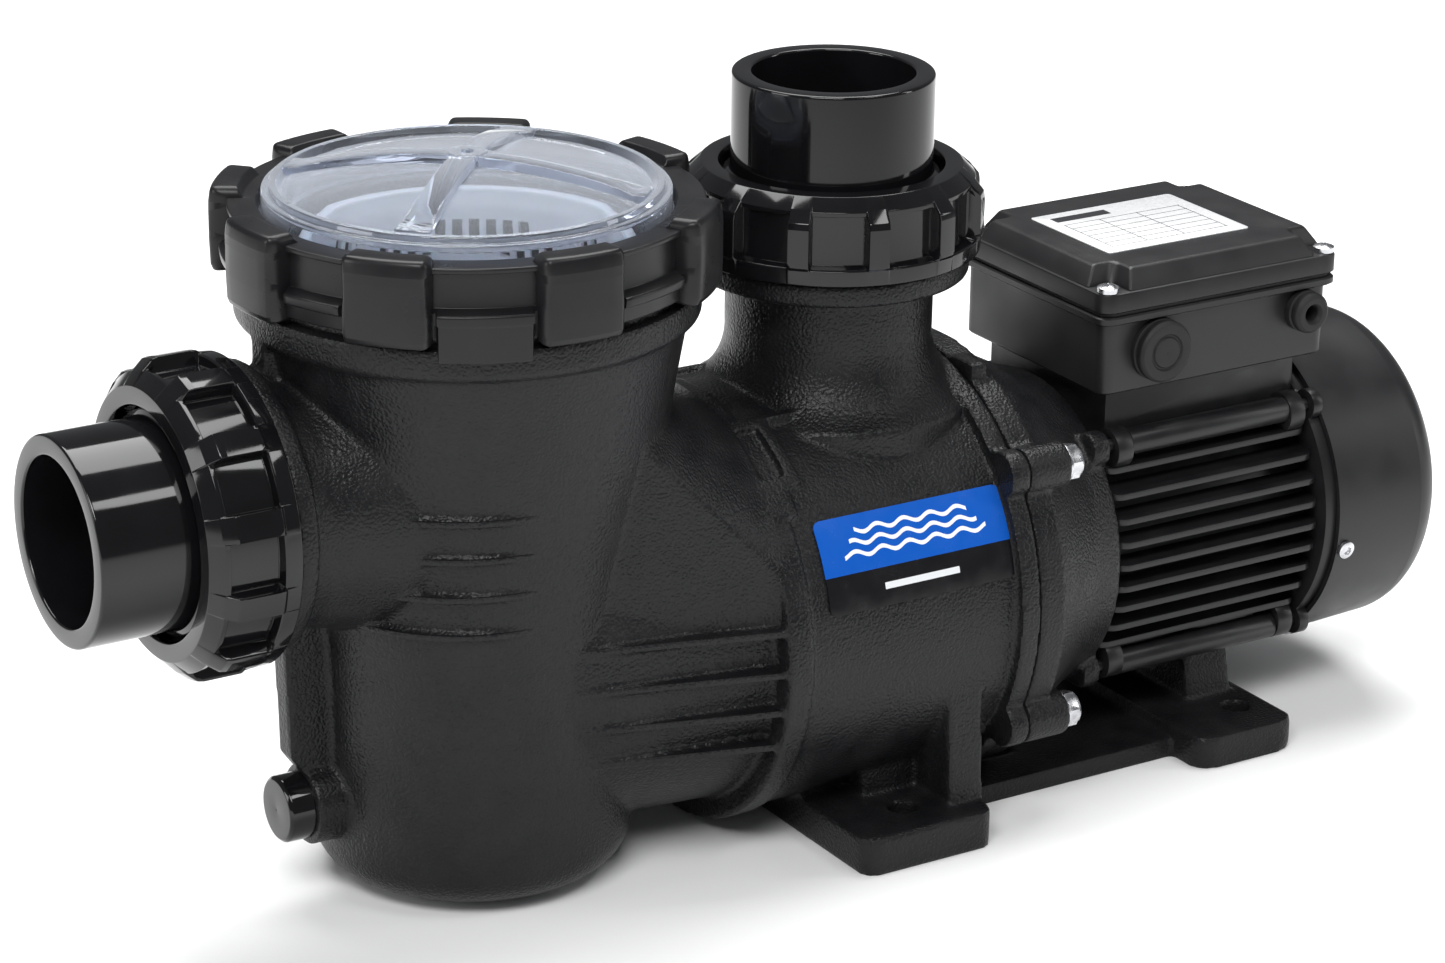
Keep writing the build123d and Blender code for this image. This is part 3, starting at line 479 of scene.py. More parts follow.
# %% Grained body plastic
def leather(name, dark, light, rough, cell_mm, depth_mm):
    """Cell grain: height falls with the distance from each cell's middle, and noise bends the cells."""
    material, shader = shader_of(name, dark, rough[0], specular=0.24)
    nodes, links = material.node_tree.nodes, material.node_tree.links
    place = new_node(material, "ShaderNodeTexCoord")
    bend = new_node(material, "ShaderNodeTexNoise", Scale=0.5 / (cell_mm * MM), Detail=2.0)
    links.new(place.outputs["Object"], bend.inputs["Vector"])
    shift = nodes.new("ShaderNodeVectorMath")
    shift.operation = "MULTIPLY_ADD"
    links.new(bend.outputs["Color"], shift.inputs[0])
    shift.inputs[1].default_value = (cell_mm * MM * 1.2,) * 3
    links.new(place.outputs["Object"], shift.inputs[2])
    cells = new_node(material, "ShaderNodeTexVoronoi", Scale=1 / (cell_mm * MM))
    cells.feature = "SMOOTH_F1"
    links.new(shift.outputs["Vector"], cells.inputs["Vector"])
    raise_bump(material, cells.outputs["Distance"], shader, -depth_mm)
    blotch = object_noise(material, 14.0, 4.0)
    tint(material, blotch, shader, dark, light)
    vary(material, blotch, shader.inputs["Roughness"], *rough)
    return material


body_black = leather("body_black_grain", (0.0065, 0.0067, 0.0075), (0.011, 0.011, 0.012),
                     (0.33, 0.43), 1.05, 0.34)
base_black = leather("base_black_grain", (0.007, 0.007, 0.008), (0.011, 0.011, 0.012),
                     (0.38, 0.48), 1.0, 0.28)
union_black = plastic("union_black_gloss", (0.004, 0.004, 0.0045), (0.006, 0.006, 0.007),
                      (0.06, 0.10), 25.0, 30.0, 0.010, specular=0.4)
ring_black = plastic("ring_black_satin", (0.008, 0.008, 0.009), (0.011, 0.011, 0.012),
                     (0.27, 0.35), 18.0, 0.5, 0.006, specular=0.26)
motor_black = plastic("motor_black_paint", (0.009, 0.009, 0.010), (0.013, 0.013, 0.014),
                      (0.30, 0.40), 12.0, 1.6, 0.02, specular=0.34)
cover_black = plastic("cover_black_satin", (0.010, 0.010, 0.011), (0.014, 0.014, 0.015),
                      (0.34, 0.44), 20.0, 0.6, 0.012, specular=0.34)
inner_black = plastic("inner_black_plastic", (0.012, 0.012, 0.013), (0.02, 0.02, 0.021),
                      (0.42, 0.55), 10.0, 0.6, 0.01)
rubber_black = plastic("rubber_black", (0.008, 0.008, 0.008), (0.013, 0.013, 0.013),
                       (0.55, 0.68), 6.0, 0.4, 0.02, specular=0.35)
basket_white = plastic("basket_white", (0.74, 0.75, 0.76), (0.80, 0.80, 0.81),
                       (0.34, 0.44), 15.0, 0.8, 0.01)
basket_shader = basket_white.node_tree.nodes["Principled BSDF"]
basket_shader.inputs["Subsurface Weight"].default_value = 0.15
basket_shader.inputs["Subsurface Scale"].default_value = 0.003
zinc = plastic("zinc_plate", (0.50, 0.51, 0.53), (0.68, 0.68, 0.70),
               (0.20, 0.34), 3.0, 0.35, 0.012, metallic=1.0)
dark_steel = plastic("black_oxide_steel", (0.03, 0.03, 0.032), (0.055, 0.055, 0.058),
                     (0.28, 0.42), 4.0, 0.3, 0.01, metallic=0.8)
bright_steel = plastic("ground_steel", (0.55, 0.55, 0.56), (0.66, 0.66, 0.67),
                       (0.12, 0.22), 5.0, 0.25, 0.004, metallic=1.0)
lamination = plastic("core_laminations", (0.14, 0.14, 0.15), (0.24, 0.24, 0.25),
                     (0.35, 0.5), 4.0, 0.5, 0.02, metallic=0.9)
copper = plastic("enamelled_copper", (0.42, 0.13, 0.04), (0.62, 0.22, 0.08),
                 (0.22, 0.34), 3.0, 0.8, 0.08, metallic=0.85)
ceramic = plastic("seal_ceramic", (0.62, 0.60, 0.56), (0.72, 0.70, 0.66), (0.18, 0.28), 5.0, 0.3, 0.003)
can_grey = plastic("capacitor_can", (0.30, 0.31, 0.33), (0.38, 0.39, 0.41),
                   (0.3, 0.4), 9.0, 0.4, 0.006, metallic=0.5)
print("finishes:", len(bpy.data.materials))

# %% [markdown]
# The lid is clear polycarbonate. It bends light like the real plastic and soaks up a little
# red and green on the way through, so long paths, such as the rim seen edge on, turn blue.
# A faint haze lets a little of the pale colour show everywhere; where the surface turns away from the view,
# less light passes and more of that colour shows, a painted highlight that draws bright outlines along the
# rims and ribs.

# %% Clear polycarbonate
clear_lid, lid_shader = shader_of("clear_polycarbonate", (0.86, 0.91, 1.0), 0.02)
lid_shader.inputs["IOR"].default_value = 1.45
# Painted highlight: seen edge on, the transmission falls and the pale blue-white colour shows as bright
# outlines.
painted_edge_highlight = new_node(clear_lid, "ShaderNodeLayerWeight", Blend=0.35)
vary(clear_lid, painted_edge_highlight.outputs["Facing"], lid_shader.inputs["Transmission Weight"], 0.96, 0.45, 0.30, 1.0)
vary(clear_lid, object_noise(clear_lid, 20.0, 3.0), lid_shader.inputs["Roughness"], 0.01, 0.04)
raise_bump(clear_lid, object_noise(clear_lid, 35.0, 1.0), lid_shader, 0.02)
soak = new_node(clear_lid, "ShaderNodeVolumeAbsorption", Color=(0.62, 0.70, 1.0, 1), Density=6.0)
lid_output = clear_lid.node_tree.nodes["Material Output"]
clear_lid.node_tree.links.new(soak.outputs["Volume"], lid_output.inputs["Volume"])
print("clear lid soaks up light at density", soak.inputs["Density"].default_value)

# %% [markdown]
# Every node of the frame gets a finish here. Those that keep their working shape to the end
# sit mostly inside, and only show when the pump is taken apart.

# %% Finishes on the frame's own nodes
NODE_FINISH = {
    body_black: ["pump_housing", "seal_plate"],
    base_black: ["motor_base"],
    union_black: ["suction_tailpiece", "discharge_tailpiece", "suction_nut", "discharge_nut", "drain_plug"],
    ring_black: ["lock_ring"],
    clear_lid: ["strainer_lid"],
    basket_white: ["strainer_basket"],
    rubber_black: ["lid_o_ring", "suction_o_ring", "discharge_o_ring", "drain_o_ring", "housing_o_ring",
                   "diffuser_o_ring", "box_gasket", "conduit_plug", "cable_gland"],
    inner_black: ["diffuser", "impeller", "cooling_fan", "terminal_block"],
    motor_black: ["motor_frame", "front_end_bell", "rear_end_bell", "tie_rod_sleeves"],
    cover_black: ["fan_cover", "terminal_box", "terminal_box_lid", "rating_plate", "body_label"],
    zinc: ["flange_bolts", "flange_washers", "fan_cover_screws", "box_screws"],
    dark_steel: ["tie_rods"],
    bright_steel: ["motor_shaft", "front_bearing", "rear_bearing"],
    lamination: ["rotor_core", "stator_core"],
    copper: ["stator_windings"],
    ceramic: ["seal_seat", "seal_head"],
    can_grey: ["capacitor"],
}
for material, names in NODE_FINISH.items():
    for name in names:
        node_mesh = frame["nodes"][name].data
        node_mesh.materials.clear()
        node_mesh.materials.append(material)
print("dressed", sum(len(names) for names in NODE_FINISH.values()), "of", len(frame["nodes"]), "nodes")

# %% [markdown]
# ## Pump body, seal plate and base
# These are big mouldings with soft fillets everywhere. Carving each fillet would take for ever,
# so a copy of the working shape is rebuilt as an even skin of small squares and then relaxed,
# which rounds every edge and corner by about the same amount, as the mould does.

# %% A softened copy of a moulding
MERGE_DISTANCE = 2e-6        # metres between points that count as one


def merged_copy(name, node, join_flat=False):
    """Copy of a node with doubled points merged and, if asked, its flat faces joined."""
    mesh = frame["nodes"][node].data.copy()
    obj = bpy.data.objects.new(name, mesh)
    bpy.context.collection.objects.link(obj)
    work = bmesh.new()
    work.from_mesh(mesh)
    bmesh.ops.remove_doubles(work, verts=work.verts, dist=MERGE_DISTANCE)
    if join_flat:
        bmesh.ops.dissolve_limit(work, angle_limit=math.radians(1.0), verts=work.verts, edges=work.edges)
    work.to_mesh(mesh)
    work.free()
    return obj


def dress_moulding(name, node, material, voxel_mm, passes=6, most_triangles=185000):
    """Rebuild a copy of the node on a grid of this pitch, relax it by moving each point towards
    the mean of its neighbours, and thin it to the triangle limit."""
    obj = merged_copy(name, node)
    grid = obj.modifiers.new("even_skin", "REMESH")
    grid.mode, grid.voxel_size = "VOXEL", voxel_mm * MM
    bake_modifiers(obj)
    relax = obj.modifiers.new("relax", "SMOOTH")
    relax.factor, relax.iterations = 0.5, passes
    triangles = 2 * len(obj.data.polygons)
    if triangles > most_triangles:
        thin = obj.modifiers.new("thin", "DECIMATE")
        thin.ratio = most_triangles / triangles
    bake_modifiers(obj)
    obj.data.shade_smooth()
    return settle(obj, frame["nodes"][node]["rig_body"], material, node)


dress_moulding("pump_body", "pump_housing", body_black, 1.1, passes=4, most_triangles=192000)
dress_moulding("seal_plate_casting", "seal_plate", body_black, 1.2)
dress_moulding("motor_foot_casting", "motor_base", base_black, 1.3)

# %% [markdown]
# The thin shelves on the pot and the fins along the throat would blur on that grid, so they are
# added as crisp plates sunk into the body. A shelf's edge is part of a circle whose centre
# stands off the pot's axis, so it fades out at both ends.

# %% Shelves and fins
SHELVES = ((114, 62.3), (129, 64.2), (144, 66.3), (159, 68.9))       # height, and the wall's radius there
SHELF_SHIFT, SHELF_LESS = 13.7, 10.3     # circle's middle off the axis, and its radius under the wall's
FIN_HEIGHTS = (54, 69, 84.5, 100)
FIN_START, FIN_END = -146, -61           # at the pot, and at the border's disc
THROAT_Y, THROAT_Z, BORDER_R = 59.0, 73.0, 84.2


def shelf(side, height, wall_r):
    """Crescent plate: from inside the wall out to the circle set off towards the port."""
    angles = np.radians(np.linspace(-178, -93, 60))
    lean = angles + np.radians(135)
    off_circle = SHELF_SHIFT * np.sin(lean)
    reach = SHELF_SHIFT * np.cos(lean) + np.sqrt((wall_r - SHELF_LESS) ** 2 - off_circle ** 2)
    radius = np.concatenate([np.maximum(reach, wall_r - 1.5), np.full(len(angles), wall_r - 3.5)])
    around = np.concatenate([angles, angles[::-1]])
    outline = radius[:, None] * np.stack([np.cos(around), -side * np.sin(around)], -1)
    return slab("shelf", outline, (POT_X, 0, height - 1.1), 2.2, edge=0.35)


def fin(side, height):
    """Wedge plate from the pot to the volute's border, as deep as the border at its far end."""
    drop = height - SHAFT_Z
    near = THROAT_Y * math.sqrt(1 - (drop / THROAT_Z) ** 2) - 0.3
    far = math.sqrt(BORDER_R ** 2 - drop ** 2)
    outline = np.array([(FIN_START, near + 0.6), (FIN_END, far), (FIN_END, far - 9),
                        (FIN_START, near - 2)]) * [1, side]
    return slab("fin", outline, (0, 0, height - 1.3), 2.6, edge=0.45)


plates = [shelf(side, *spot) for side in (-1, 1) for spot in SHELVES]
plates += [fin(side, height) for side in (-1, 1) for height in FIN_HEIGHTS]
settle(joined("pump_body_shelves_and_fins", plates), "root", body_black, "pump_housing")

# %% [markdown]
# ## Unions
# Each port has a plain socket with a flange, and a nut that draws it onto the port. The socket
# is turned. The nut is a section carried round the pipe: between ribs the section has a sunken
# window, at a rib it stands proud with a sloping front end, and the two are blended over half
# a millimetre at the rib's flanks.


# %% Helpers: sections that change on the way round
def rib_shares(half_width, radius, soft, pitch):
    """Angles round one rib's pitch, and the rib's share there: 1 on the rib, 0 past its flank.
    Flank points are bunched so that the edge has a small round over its corner."""
    flank = np.array([0, 0.08, 0.25, 0.5, 0.75, 0.92, 1.0])
    share = 1 - flank * flank * (3 - 2 * flank)
    edge = half_width / radius
    turn = soft / radius
    inside = np.linspace(0, edge, 4)[:-1]
    outside = np.linspace(edge + turn, pitch / 2, 7)[1:]
    half = np.concatenate([inside, edge + flank * turn, outside])
    amount = np.concatenate([np.ones(len(inside)), share, np.zeros(len(outside))])
    angles = np.concatenate([-half[:0:-1], half])
    return angles[1:], np.concatenate([amount[:0:-1], amount])[1:]


def ribbed(name, plain, rib, ribs, first, half_width, soft, radius, centre, outward, radial):
    """Section carried round an axis, blended between plain and rib: p = plain + share * (rib - plain)."""
    pitch = 2 * np.pi / ribs
    step, share = rib_shares(half_width, radius, soft, pitch)
    angles = (first + np.arange(ribs)[:, None] * pitch + step[None]).ravel()
    share = np.tile(share, ribs)[:, None, None]
    section = plain[None] + share * (rib - plain)[None]
    return carry(name, section[..., 0], section[..., 1], angles, centre, outward, radial)


def union(prefix, centre, outward, radial, first, half_width):
    """Socket tailpiece and ribbed nut. Distances are measured back from the socket's end."""
    bore, outer = BORE_R, 37.6
    tail = [(bore, 0.0, 1.0), (outer, 0.0, 1.2), (outer, -37.0, 0.8), (40.2, -37.6, 0.8),
            (40.4, -42.8, 0.3), (46.5, -42.8, 0.8), (46.5, -50.4, 0.5), (27.0, -50.4, 0.8),
            (27.0, -36.0, 1.5), (bore, -36.0, 0.4)]
    socket = lathe(f"{prefix}_socket", rounded(tail, 0.5), centre, outward, radial)
    settle(socket, f"{prefix}_tail", union_black, f"{prefix}_tailpiece")
    front, rear, bore_rear = -34.0, -66.0, -42.4
    start = [(42.0, front, 0.6), (48.6, front, 0.7)]
    end = [(56.0, rear + 0.4, 1.2), (55.0, rear, 0.5), (49.4, rear, 0.6), (49.4, bore_rear, 0.4),
           (42.0, bore_rear, 0.6)]
    plain = [*start, (53.4, front - 4.6, 0.5), (53.4, front - 6.2, 0.35), (51.9, front - 6.6, 0.25),
             (51.9, rear + 7.2, 0.25), (55.4, rear + 6.6, 0.4), (56.0, rear + 6.0, 0.4), *end]
    rib = [*start, (53.2, front - 3.8, 0.9), (56.9, front - 8.2, 1.4), (57.3, front - 10.5, 0.4),
           (57.3, rear + 9.0, 0.4), (57.3, rear + 7.2, 0.6), (56.5, rear + 6.0, 0.5), *end]
    nut = ribbed(f"{prefix}_union_nut", rounded(plain), rounded(rib), 12, first, half_width, 0.8, 57.0,
                 centre, outward, radial)
    settle(nut, f"{prefix}_nut", union_black, f"{prefix}_nut")


union("suction", (SUCTION_X, 0, SUCTION_Z), (-1, 0, 0), (0, 0, 1), math.radians(15), 4.6)
union("discharge", (0, 0, DISCHARGE_Z), (0, 0, 1), (1, 0, 0), math.radians(15), 3.8)

# %% [markdown]
# ## Lock ring
# The ring that holds the lid is one moulding: a flat top, eight square lugs for the hands or a
# strap wrench, a sunken window between each pair of lugs, a thin curved shelf under each
# window, and one pointer tab. It is a section carried round the pot in the same way. Three
# sections are blended: the gap, the lug and the tab.

# %% The lock ring
RING_R = 84.5
LUG_AT = np.radians([-176, -137, -92, -48, 8, 56, 104, 142])
TAB_AT = np.radians(-114.5)
LUG_HALF, LUG_CORNER, TAB_HALF = 15.4, 3.2, 16.6


def apart(angles, other):
    """Smallest turn between angles, never negative: the size of the angle of e^(i(a - b))."""
    return np.abs(np.angle(np.exp(1j * (angles - other))))


def round_over(distance, corner):
    """Quarter circle from 0 at the edge to 1 at the corner radius inside it."""
    t = np.clip(distance / corner, 0, 1)
    return np.sqrt(1 - (1 - t) ** 2)


def ring_angles():
    """Angles all round, bunched at every lug's rounded corners and at the shelf's ends."""
    bunch = LUG_HALF - LUG_CORNER * (1 - np.cos(np.linspace(0, np.pi / 2, 7)))[::-1]
    beyond = LUG_HALF + np.array([0.05, 1.0, 1.3, 1.7, 2.2])
    side = np.concatenate([np.linspace(0, bunch[0], 4)[:-1], bunch, beyond])
    lug = np.concatenate([-side[:0:-1], side]) / RING_R
    following = np.append(LUG_AT[1:], LUG_AT[0] + 2 * np.pi)
    runs = [np.concatenate([at + lug, np.linspace(at + lug[-1], after - lug[-1], 14)[1:-1]])
            for at, after in zip(LUG_AT, following)]
    return np.concatenate(runs)


def lock_ring():
    """Blend of gap, lug and tab sections at every angle."""
    top, lip = 255.5, [(74.2, 255.5, 0.5), (73.2, 254.2, 0.6), (73.2, 250.9, 0.4), (79.3, 250.9, 0.4)]
    gap = [(79.3, 230.0, 0.4), (84.0, 230.0, 0.8), (84.4, 235.4, 0.5), (87.0, 236.2, 0.9),
           (87.4, 239.6, 1.1), (82.2, 241.0, 0.6), (82.0, 253.0, 0.5), (84.2, 253.6, 0.5),
           (84.4, top, 0.9), (79.6, top, 0.3), (78.4, top, 0.3), *lip]
    lug = [(79.3, 228.4, 0.4), (89.6, 228.0, 1.6), (90.6, 230.5, 0.8), (90.8, 236.0, 0.3),
           (90.9, 239.6, 0.3), (90.9, 243.0, 0.3), (90.9, 250.2, 0.3), (90.8, 253.6, 0.6),
           (90.0, 259.2, 2.6), (80.4, 259.2, 1.4), (78.4, 255.7, 1.0), *lip]
    tab = [(83.4, 223.0, 0.4), (86.2, 222.2, 1.0), (86.9, 235.4, 0.5), (87.2, 236.2, 0.9),
           (87.4, 239.6, 1.1), *gap[5:]]
    gap, lug, tab = map(rounded, (gap, lug, tab))
    angles = ring_angles()
    off_lug = apart(angles[:, None], LUG_AT[None]).min(1) * RING_R
    off_tab = apart(angles, TAB_AT) * RING_R
    lug_share = round_over(LUG_HALF - off_lug, LUG_CORNER)[:, None, None]
    tab_share = (ease(TAB_HALF - off_tab, 0, 0.8) * (off_lug > LUG_HALF))[:, None, None]
    shelf_share = ease(off_lug - LUG_HALF, 0.9, 1.9)[:, None, None]
    flat = gap.copy()
    flat[:, 0] = np.where((gap[:, 0] > RING_R) & (gap[:, 1] < 245), RING_R, gap[:, 0])
    shape = flat + shelf_share * (gap - flat)
    shape = shape + tab_share * (tab - shape)
    shape = shape + lug_share * (lug - shape)
    return carry("lock_ring_moulding", shape[..., 0], shape[..., 1], angles, *POT_AXIS)


settle(lock_ring(), "lock_ring", ring_black, "lock_ring")

# %% [markdown]
# ## Strainer basket
# The basket is a tapered cup of rings and bars. On a grid round the axis every second cell
# between two rings is left out, which leaves the slots. The skin is then given its thickness.

# %% The basket
BASKET_FOOT, BASKET_RIM = span("strainer_basket")[0][2], span("strainer_basket")[1][2]


def basket():
    """Cup whose radius grows evenly from foot to rim, with slot cells removed."""
    bars, wall = 56, 1.8
    sector = 2 * np.pi / bars
    angles = (np.arange(bars)[:, None] * sector + np.array([-0.5, -0.12])[None] * sector).ravel()
    slot_bottom, slot_top, tiers = BASKET_FOOT + 8, BASKET_RIM - 9, 17
    edges = np.linspace(slot_bottom, slot_top, tiers + 1)
    tier = (slot_top - slot_bottom) / tiers
    heights = [BASKET_FOOT + 3]
    for low in edges[:-1]:
        heights += [low, low + tier * 0.66]
    heights = np.array(heights + [slot_top, BASKET_RIM - 6, BASKET_RIM - 5])
    share = (heights - BASKET_FOOT) / (BASKET_RIM - BASKET_FOOT)
    radii = 46 + share * 12.0
    radii[-1] = 58.2
    foot_r = np.array([1.0, 12.0, 24.0, 36.0, 44.5])
    profile_r = np.concatenate([foot_r, radii, [58.4]])
    profile_z = np.concatenate([np.full(5, BASKET_FOOT + 1.6), heights, [BASKET_RIM - 1.0]])
    cos, sin = np.cos(angles), np.sin(angles)
    points = np.stack([POT_X + profile_r[:, None] * cos, profile_r[:, None] * sin,
                       np.broadcast_to(profile_z[:, None], (len(profile_z), len(angles)))], -1)
    rows, columns = points.shape[:2]
    faces = quads(rows, columns, False, True).reshape(rows - 1, columns, 4)
    keep = np.ones((rows - 1, columns), bool)
    first_slot = len(foot_r) + 1
    keep[first_slot:first_slot + 2 * tiers:2, 1::2] = False
    keep[1:4:2, 1::2] = False
    inlet = apart(angles, np.pi) < 0.44
    tall = (profile_z[:-1] > SUCTION_Z - 22) & (profile_z[:-1] < SUCTION_Z + 20)
    keep &= ~(tall[:, None] & inlet[None, :])
    floor = [list(range(columns))]
    obj = keep_mesh("basket_cup", points.reshape(-1, 3), faces[keep].tolist() + floor)
    thick = obj.modifiers.new("wall", "SOLIDIFY")
    thick.thickness, thick.offset = wall * MM, -1
    bake_modifiers(obj)
    rim = lathe("basket_rim", rounded([(56.8, BASKET_RIM - 3.7, 0.5), (61.8, BASKET_RIM - 3.7, 0.6),
                                       (61.8, BASKET_RIM, 0.9), (56.8, BASKET_RIM, 0.9)]), *POT_AXIS)
    return joined("strainer_basket_moulding", [obj, rim])


settle(basket(), "basket", basket_white, "strainer_basket")

# %% [markdown]
# ## Clear lid
# The lid is one clear moulding: a low dome inside a double rim, with four arched ribs that run
# from a small hub to blocks on the rim. The turned part and the ribs are made apart and then
# united, because one closed skin is what lets light pass through without false inner walls.

# %% The lid
LID_FOOT, LID_WALL_R, DOME_R = 245.5, 72.3, 66.0
DOME_TOP, DOME_EDGE = 268.0, 259.5


def cap(apex, edge_r, edge_z, radii):
    """Heights of a spherical cap at these radii: apex less the sphere's drop."""
    drop = apex - edge_z
    sphere = (edge_r ** 2 + drop ** 2) / (2 * drop)
    return apex - sphere + np.sqrt(sphere ** 2 - np.asarray(radii) ** 2)


def lid_disc():
    """Turned part of the lid: dome, double rim, wall, flange and hollow underside."""
    up = np.linspace(0, 1, 16)[:-1] ** 0.8 * (DOME_R - 2.0)
    down = np.linspace(1, 0, 14)[1:] ** 0.9 * 61.5
    rim = rounded([(DOME_R - 1.0, DOME_EDGE + 0.3, 0.8), (67.0, 262.0, 0.7), (69.4, 262.0, 0.8),
                   (70.0, 259.8, 0.8), (LID_WALL_R, 259.6, 0.9), (LID_WALL_R, 250.4, 0.4),
                   (76.5, 250.4, 0.7), (76.5, LID_FOOT, 0.5), (63.5, LID_FOOT, 0.6), (63.5, 255.3, 1.6)])
    top = np.stack([up, cap(DOME_TOP, DOME_R, DOME_EDGE, up)], -1)
    under = np.stack([down, cap(DOME_TOP - 4, 63.5, 255.5, down)], -1)
    return lathe("lid_disc", np.vstack([top, rim, under]), *POT_AXIS, count=160)


def lid_rib(angle, half_width=4.8):
    """Arched bar in the upright plane at this angle: between two arcs, from hub to rim block."""
    r = np.linspace(2.0, 62.0, 14)
    over = 271.6 - 9.6 * (r / 64) ** 2
    below = 266.2 - 9.0 * (r / 64) ** 2
    block = [(63.0, 262.6), (66.0, 262.6), (66.6, 260.0), (66.6, 258.4)]
    outline = np.vstack([np.stack([r, over], -1), block, np.stack([r, below], -1)[::-1]])
    along = np.array([math.cos(angle), math.sin(angle), 0])
    side = np.array([-math.sin(angle), math.cos(angle), 0])
    base = np.array([POT_X, 0, 0]) + outline[:, :1] * along + outline[:, 1:] * np.array([0, 0, 1])
    flare = 1 + 0.35 * ease(outline[:, :1], 56, 64)
    points = np.vstack([base - side * half_width * flare, base + side * half_width * flare])
    return bevelled(keep_mesh("lid_rib", points, prism_faces(len(base)), smooth=False), 0.6)


def unite(base, tools):
    """Boolean union of closed meshes into one skin."""
    for tool in tools:
        step = base.modifiers.new("unite", "BOOLEAN")
        step.operation, step.solver, step.object = "UNION", "EXACT", tool
    bake_modifiers(base)
    for tool in tools:
        bpy.data.objects.remove(tool)
    return base


ribs = [lid_rib(math.radians(45 + 90 * quarter)) for quarter in range(4)]
hub = lathe("lid_hub", rounded([(2.0, 266.4, 0.2), (7.4, 266.4, 0.4), (7.4, 271.9, 0.9), (2.4, 271.9, 0.6),
                                (2.0, 270.6, 0.3)]), *POT_AXIS, count=48)
lid = unite(lid_disc(), [*ribs, hub])
lid.name = "clear_lid_moulding"
settle(lid, "lid", clear_lid, "strainer_lid")

# %% [markdown]
# ## Motor castings
# The motor's frame, bells and sleeves are cast shapes with straight faces, so their working
# shape is kept and only the edges change: a copy is merged, flat faces are joined again, and
# every edge sharper than 28 degrees gets a narrow bevel that catches the light.

# %% Copies with bevelled edges
EDGED = [("motor_frame_casting", "motor_frame", 0.35), ("front_bell_casting", "front_end_bell", 0.5),
         ("rear_bell_casting", "rear_end_bell", 0.5), ("tie_rod_sleeve_set", "tie_rod_sleeves", 0.4)]
for piece, node, width in EDGED:
    copy = bevelled(merged_copy(piece, node, join_flat=True), width, degrees=28)
    settle(copy, frame["nodes"][node]["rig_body"], motor_black, node)

# %% [markdown]
# ## Terminal box
# A base and a lid, both rounded rectangles that change with height, so each is a stack of
# outlines. The lid's raised panel steps in at its four corners, to leave room for the screws.

# %% Terminal box and its lid
BOX_LOW, BOX_HIGH = span("terminal_box")
LID_LOW, LID_HIGH = span("terminal_box_lid")
BOX_X, BOX_LENGTH = (BOX_LOW[0] + BOX_HIGH[0]) / 2, BOX_HIGH[0] - BOX_LOW[0]


def box_loop(inset, z, radius):
    """Rounded rectangle of the box's rim, drawn in by inset, at height z."""
    width, depth = BOX_LENGTH - 2 * inset, BOX_HIGH[1] - BOX_LOW[1] - 2 * inset
    loop = rounded_rectangle(width, depth, max(radius, 0.3), (BOX_X, 0))
    return np.column_stack([loop, np.full(len(loop), z)])


def box_shell():
    """Open box: outer wall up, over the rim and down inside to the floor."""
    low, high = BOX_LOW[2], BOX_HIGH[2]
    outer = [(3.8, low + 0.1, 4.5), (3.1, low + 0.8, 5.2), (3.0, low + 2.0, 5.5),
             (3.0, high - 4.2, 5.5), (2.6, high - 3.6, 6.0), (0.7, high - 3.3, 7.0),
             (0.0, high - 2.7, 7.0), (0.0, high - 0.6, 7.0), (0.6, high, 6.6), (5.4, high, 4.4),
             (6.0, high - 0.6, 4.0), (6.0, low + 3.6, 4.0), (7.0, low + 3.0, 3.6)]
    return stack("box_base", [box_loop(*level) for level in outer])


settle(box_shell(), "root", cover_black, "terminal_box")


def notched(inset, z, notch):
    """Panel outline with each corner stepped in by a rounded notch."""
    w, h = BOX_LENGTH / 2 - inset, (BOX_HIGH[1] - BOX_LOW[1]) / 2 - inset
    corners = []
    for sx, sy in ((-1, -1), (1, -1), (1, 1), (-1, 1)):
        along, across = (sx * w, sy * (h - notch)), (sx * (w - notch), sy * h)
        inner = (sx * (w - notch), sy * (h - notch))
        trio = [along, inner, across] if sx * sy > 0 else [across, inner, along]
        corners += [(*trio[0], 1.2), (*trio[1], 3.6), (*trio[2], 1.2)]
    loop = rounded(corners, steps=5)
    return np.column_stack([loop[:, 0] + BOX_X, loop[:, 1], np.full(len(loop), z)])


def box_lid():
    """Rim tray below and the notched panel above, closed as two skins in one piece."""
    low, step, high = LID_LOW[2], LID_LOW[2] + 8.0, LID_HIGH[2]
    tray = [(6.0, low + 3.0, 4.0), (5.8, low + 0.2, 4.2), (0.7, low, 6.4), (0.0, low + 0.7, 7.0),
            (0.0, step - 1.0, 7.0), (0.3, step - 0.3, 6.8), (1.0, step, 6.4), (5.0, step, 4.0)]
    base = stack("lid_tray", [box_loop(*level) for level in tray])
    panel = [(1.2, step - 0.8), (1.2, step + 0.4), (2.0, step + 1.6), (5.4, high - 1.0),
             (6.2, high - 0.3), (7.4, high)]
    top = stack("lid_panel", [notched(inset, z, 11.5 - 0.25 * inset) for inset, z in panel])
    return joined("terminal_box_cover", [base, top])


settle(box_lid(), "root", cover_black, "terminal_box_lid")
plate_low, plate_high = span("rating_plate")
plate_size, plate_mid = plate_high - plate_low, (plate_high + plate_low) / 2
plate_shape = rounded_rectangle(plate_size[0], plate_size[1], 2.0, (plate_mid[0], plate_mid[1]))
plate = slab("rating_foil_plate", plate_shape, (0, 0, plate_low[2]), plate_size[2], edge=0.12)


PLATE_MARGIN, RULES, RULE_STEP, RULE_WIDTH = 6, 7, 5.2, 0.45
INK = (0.05, 0.05, 0.055)


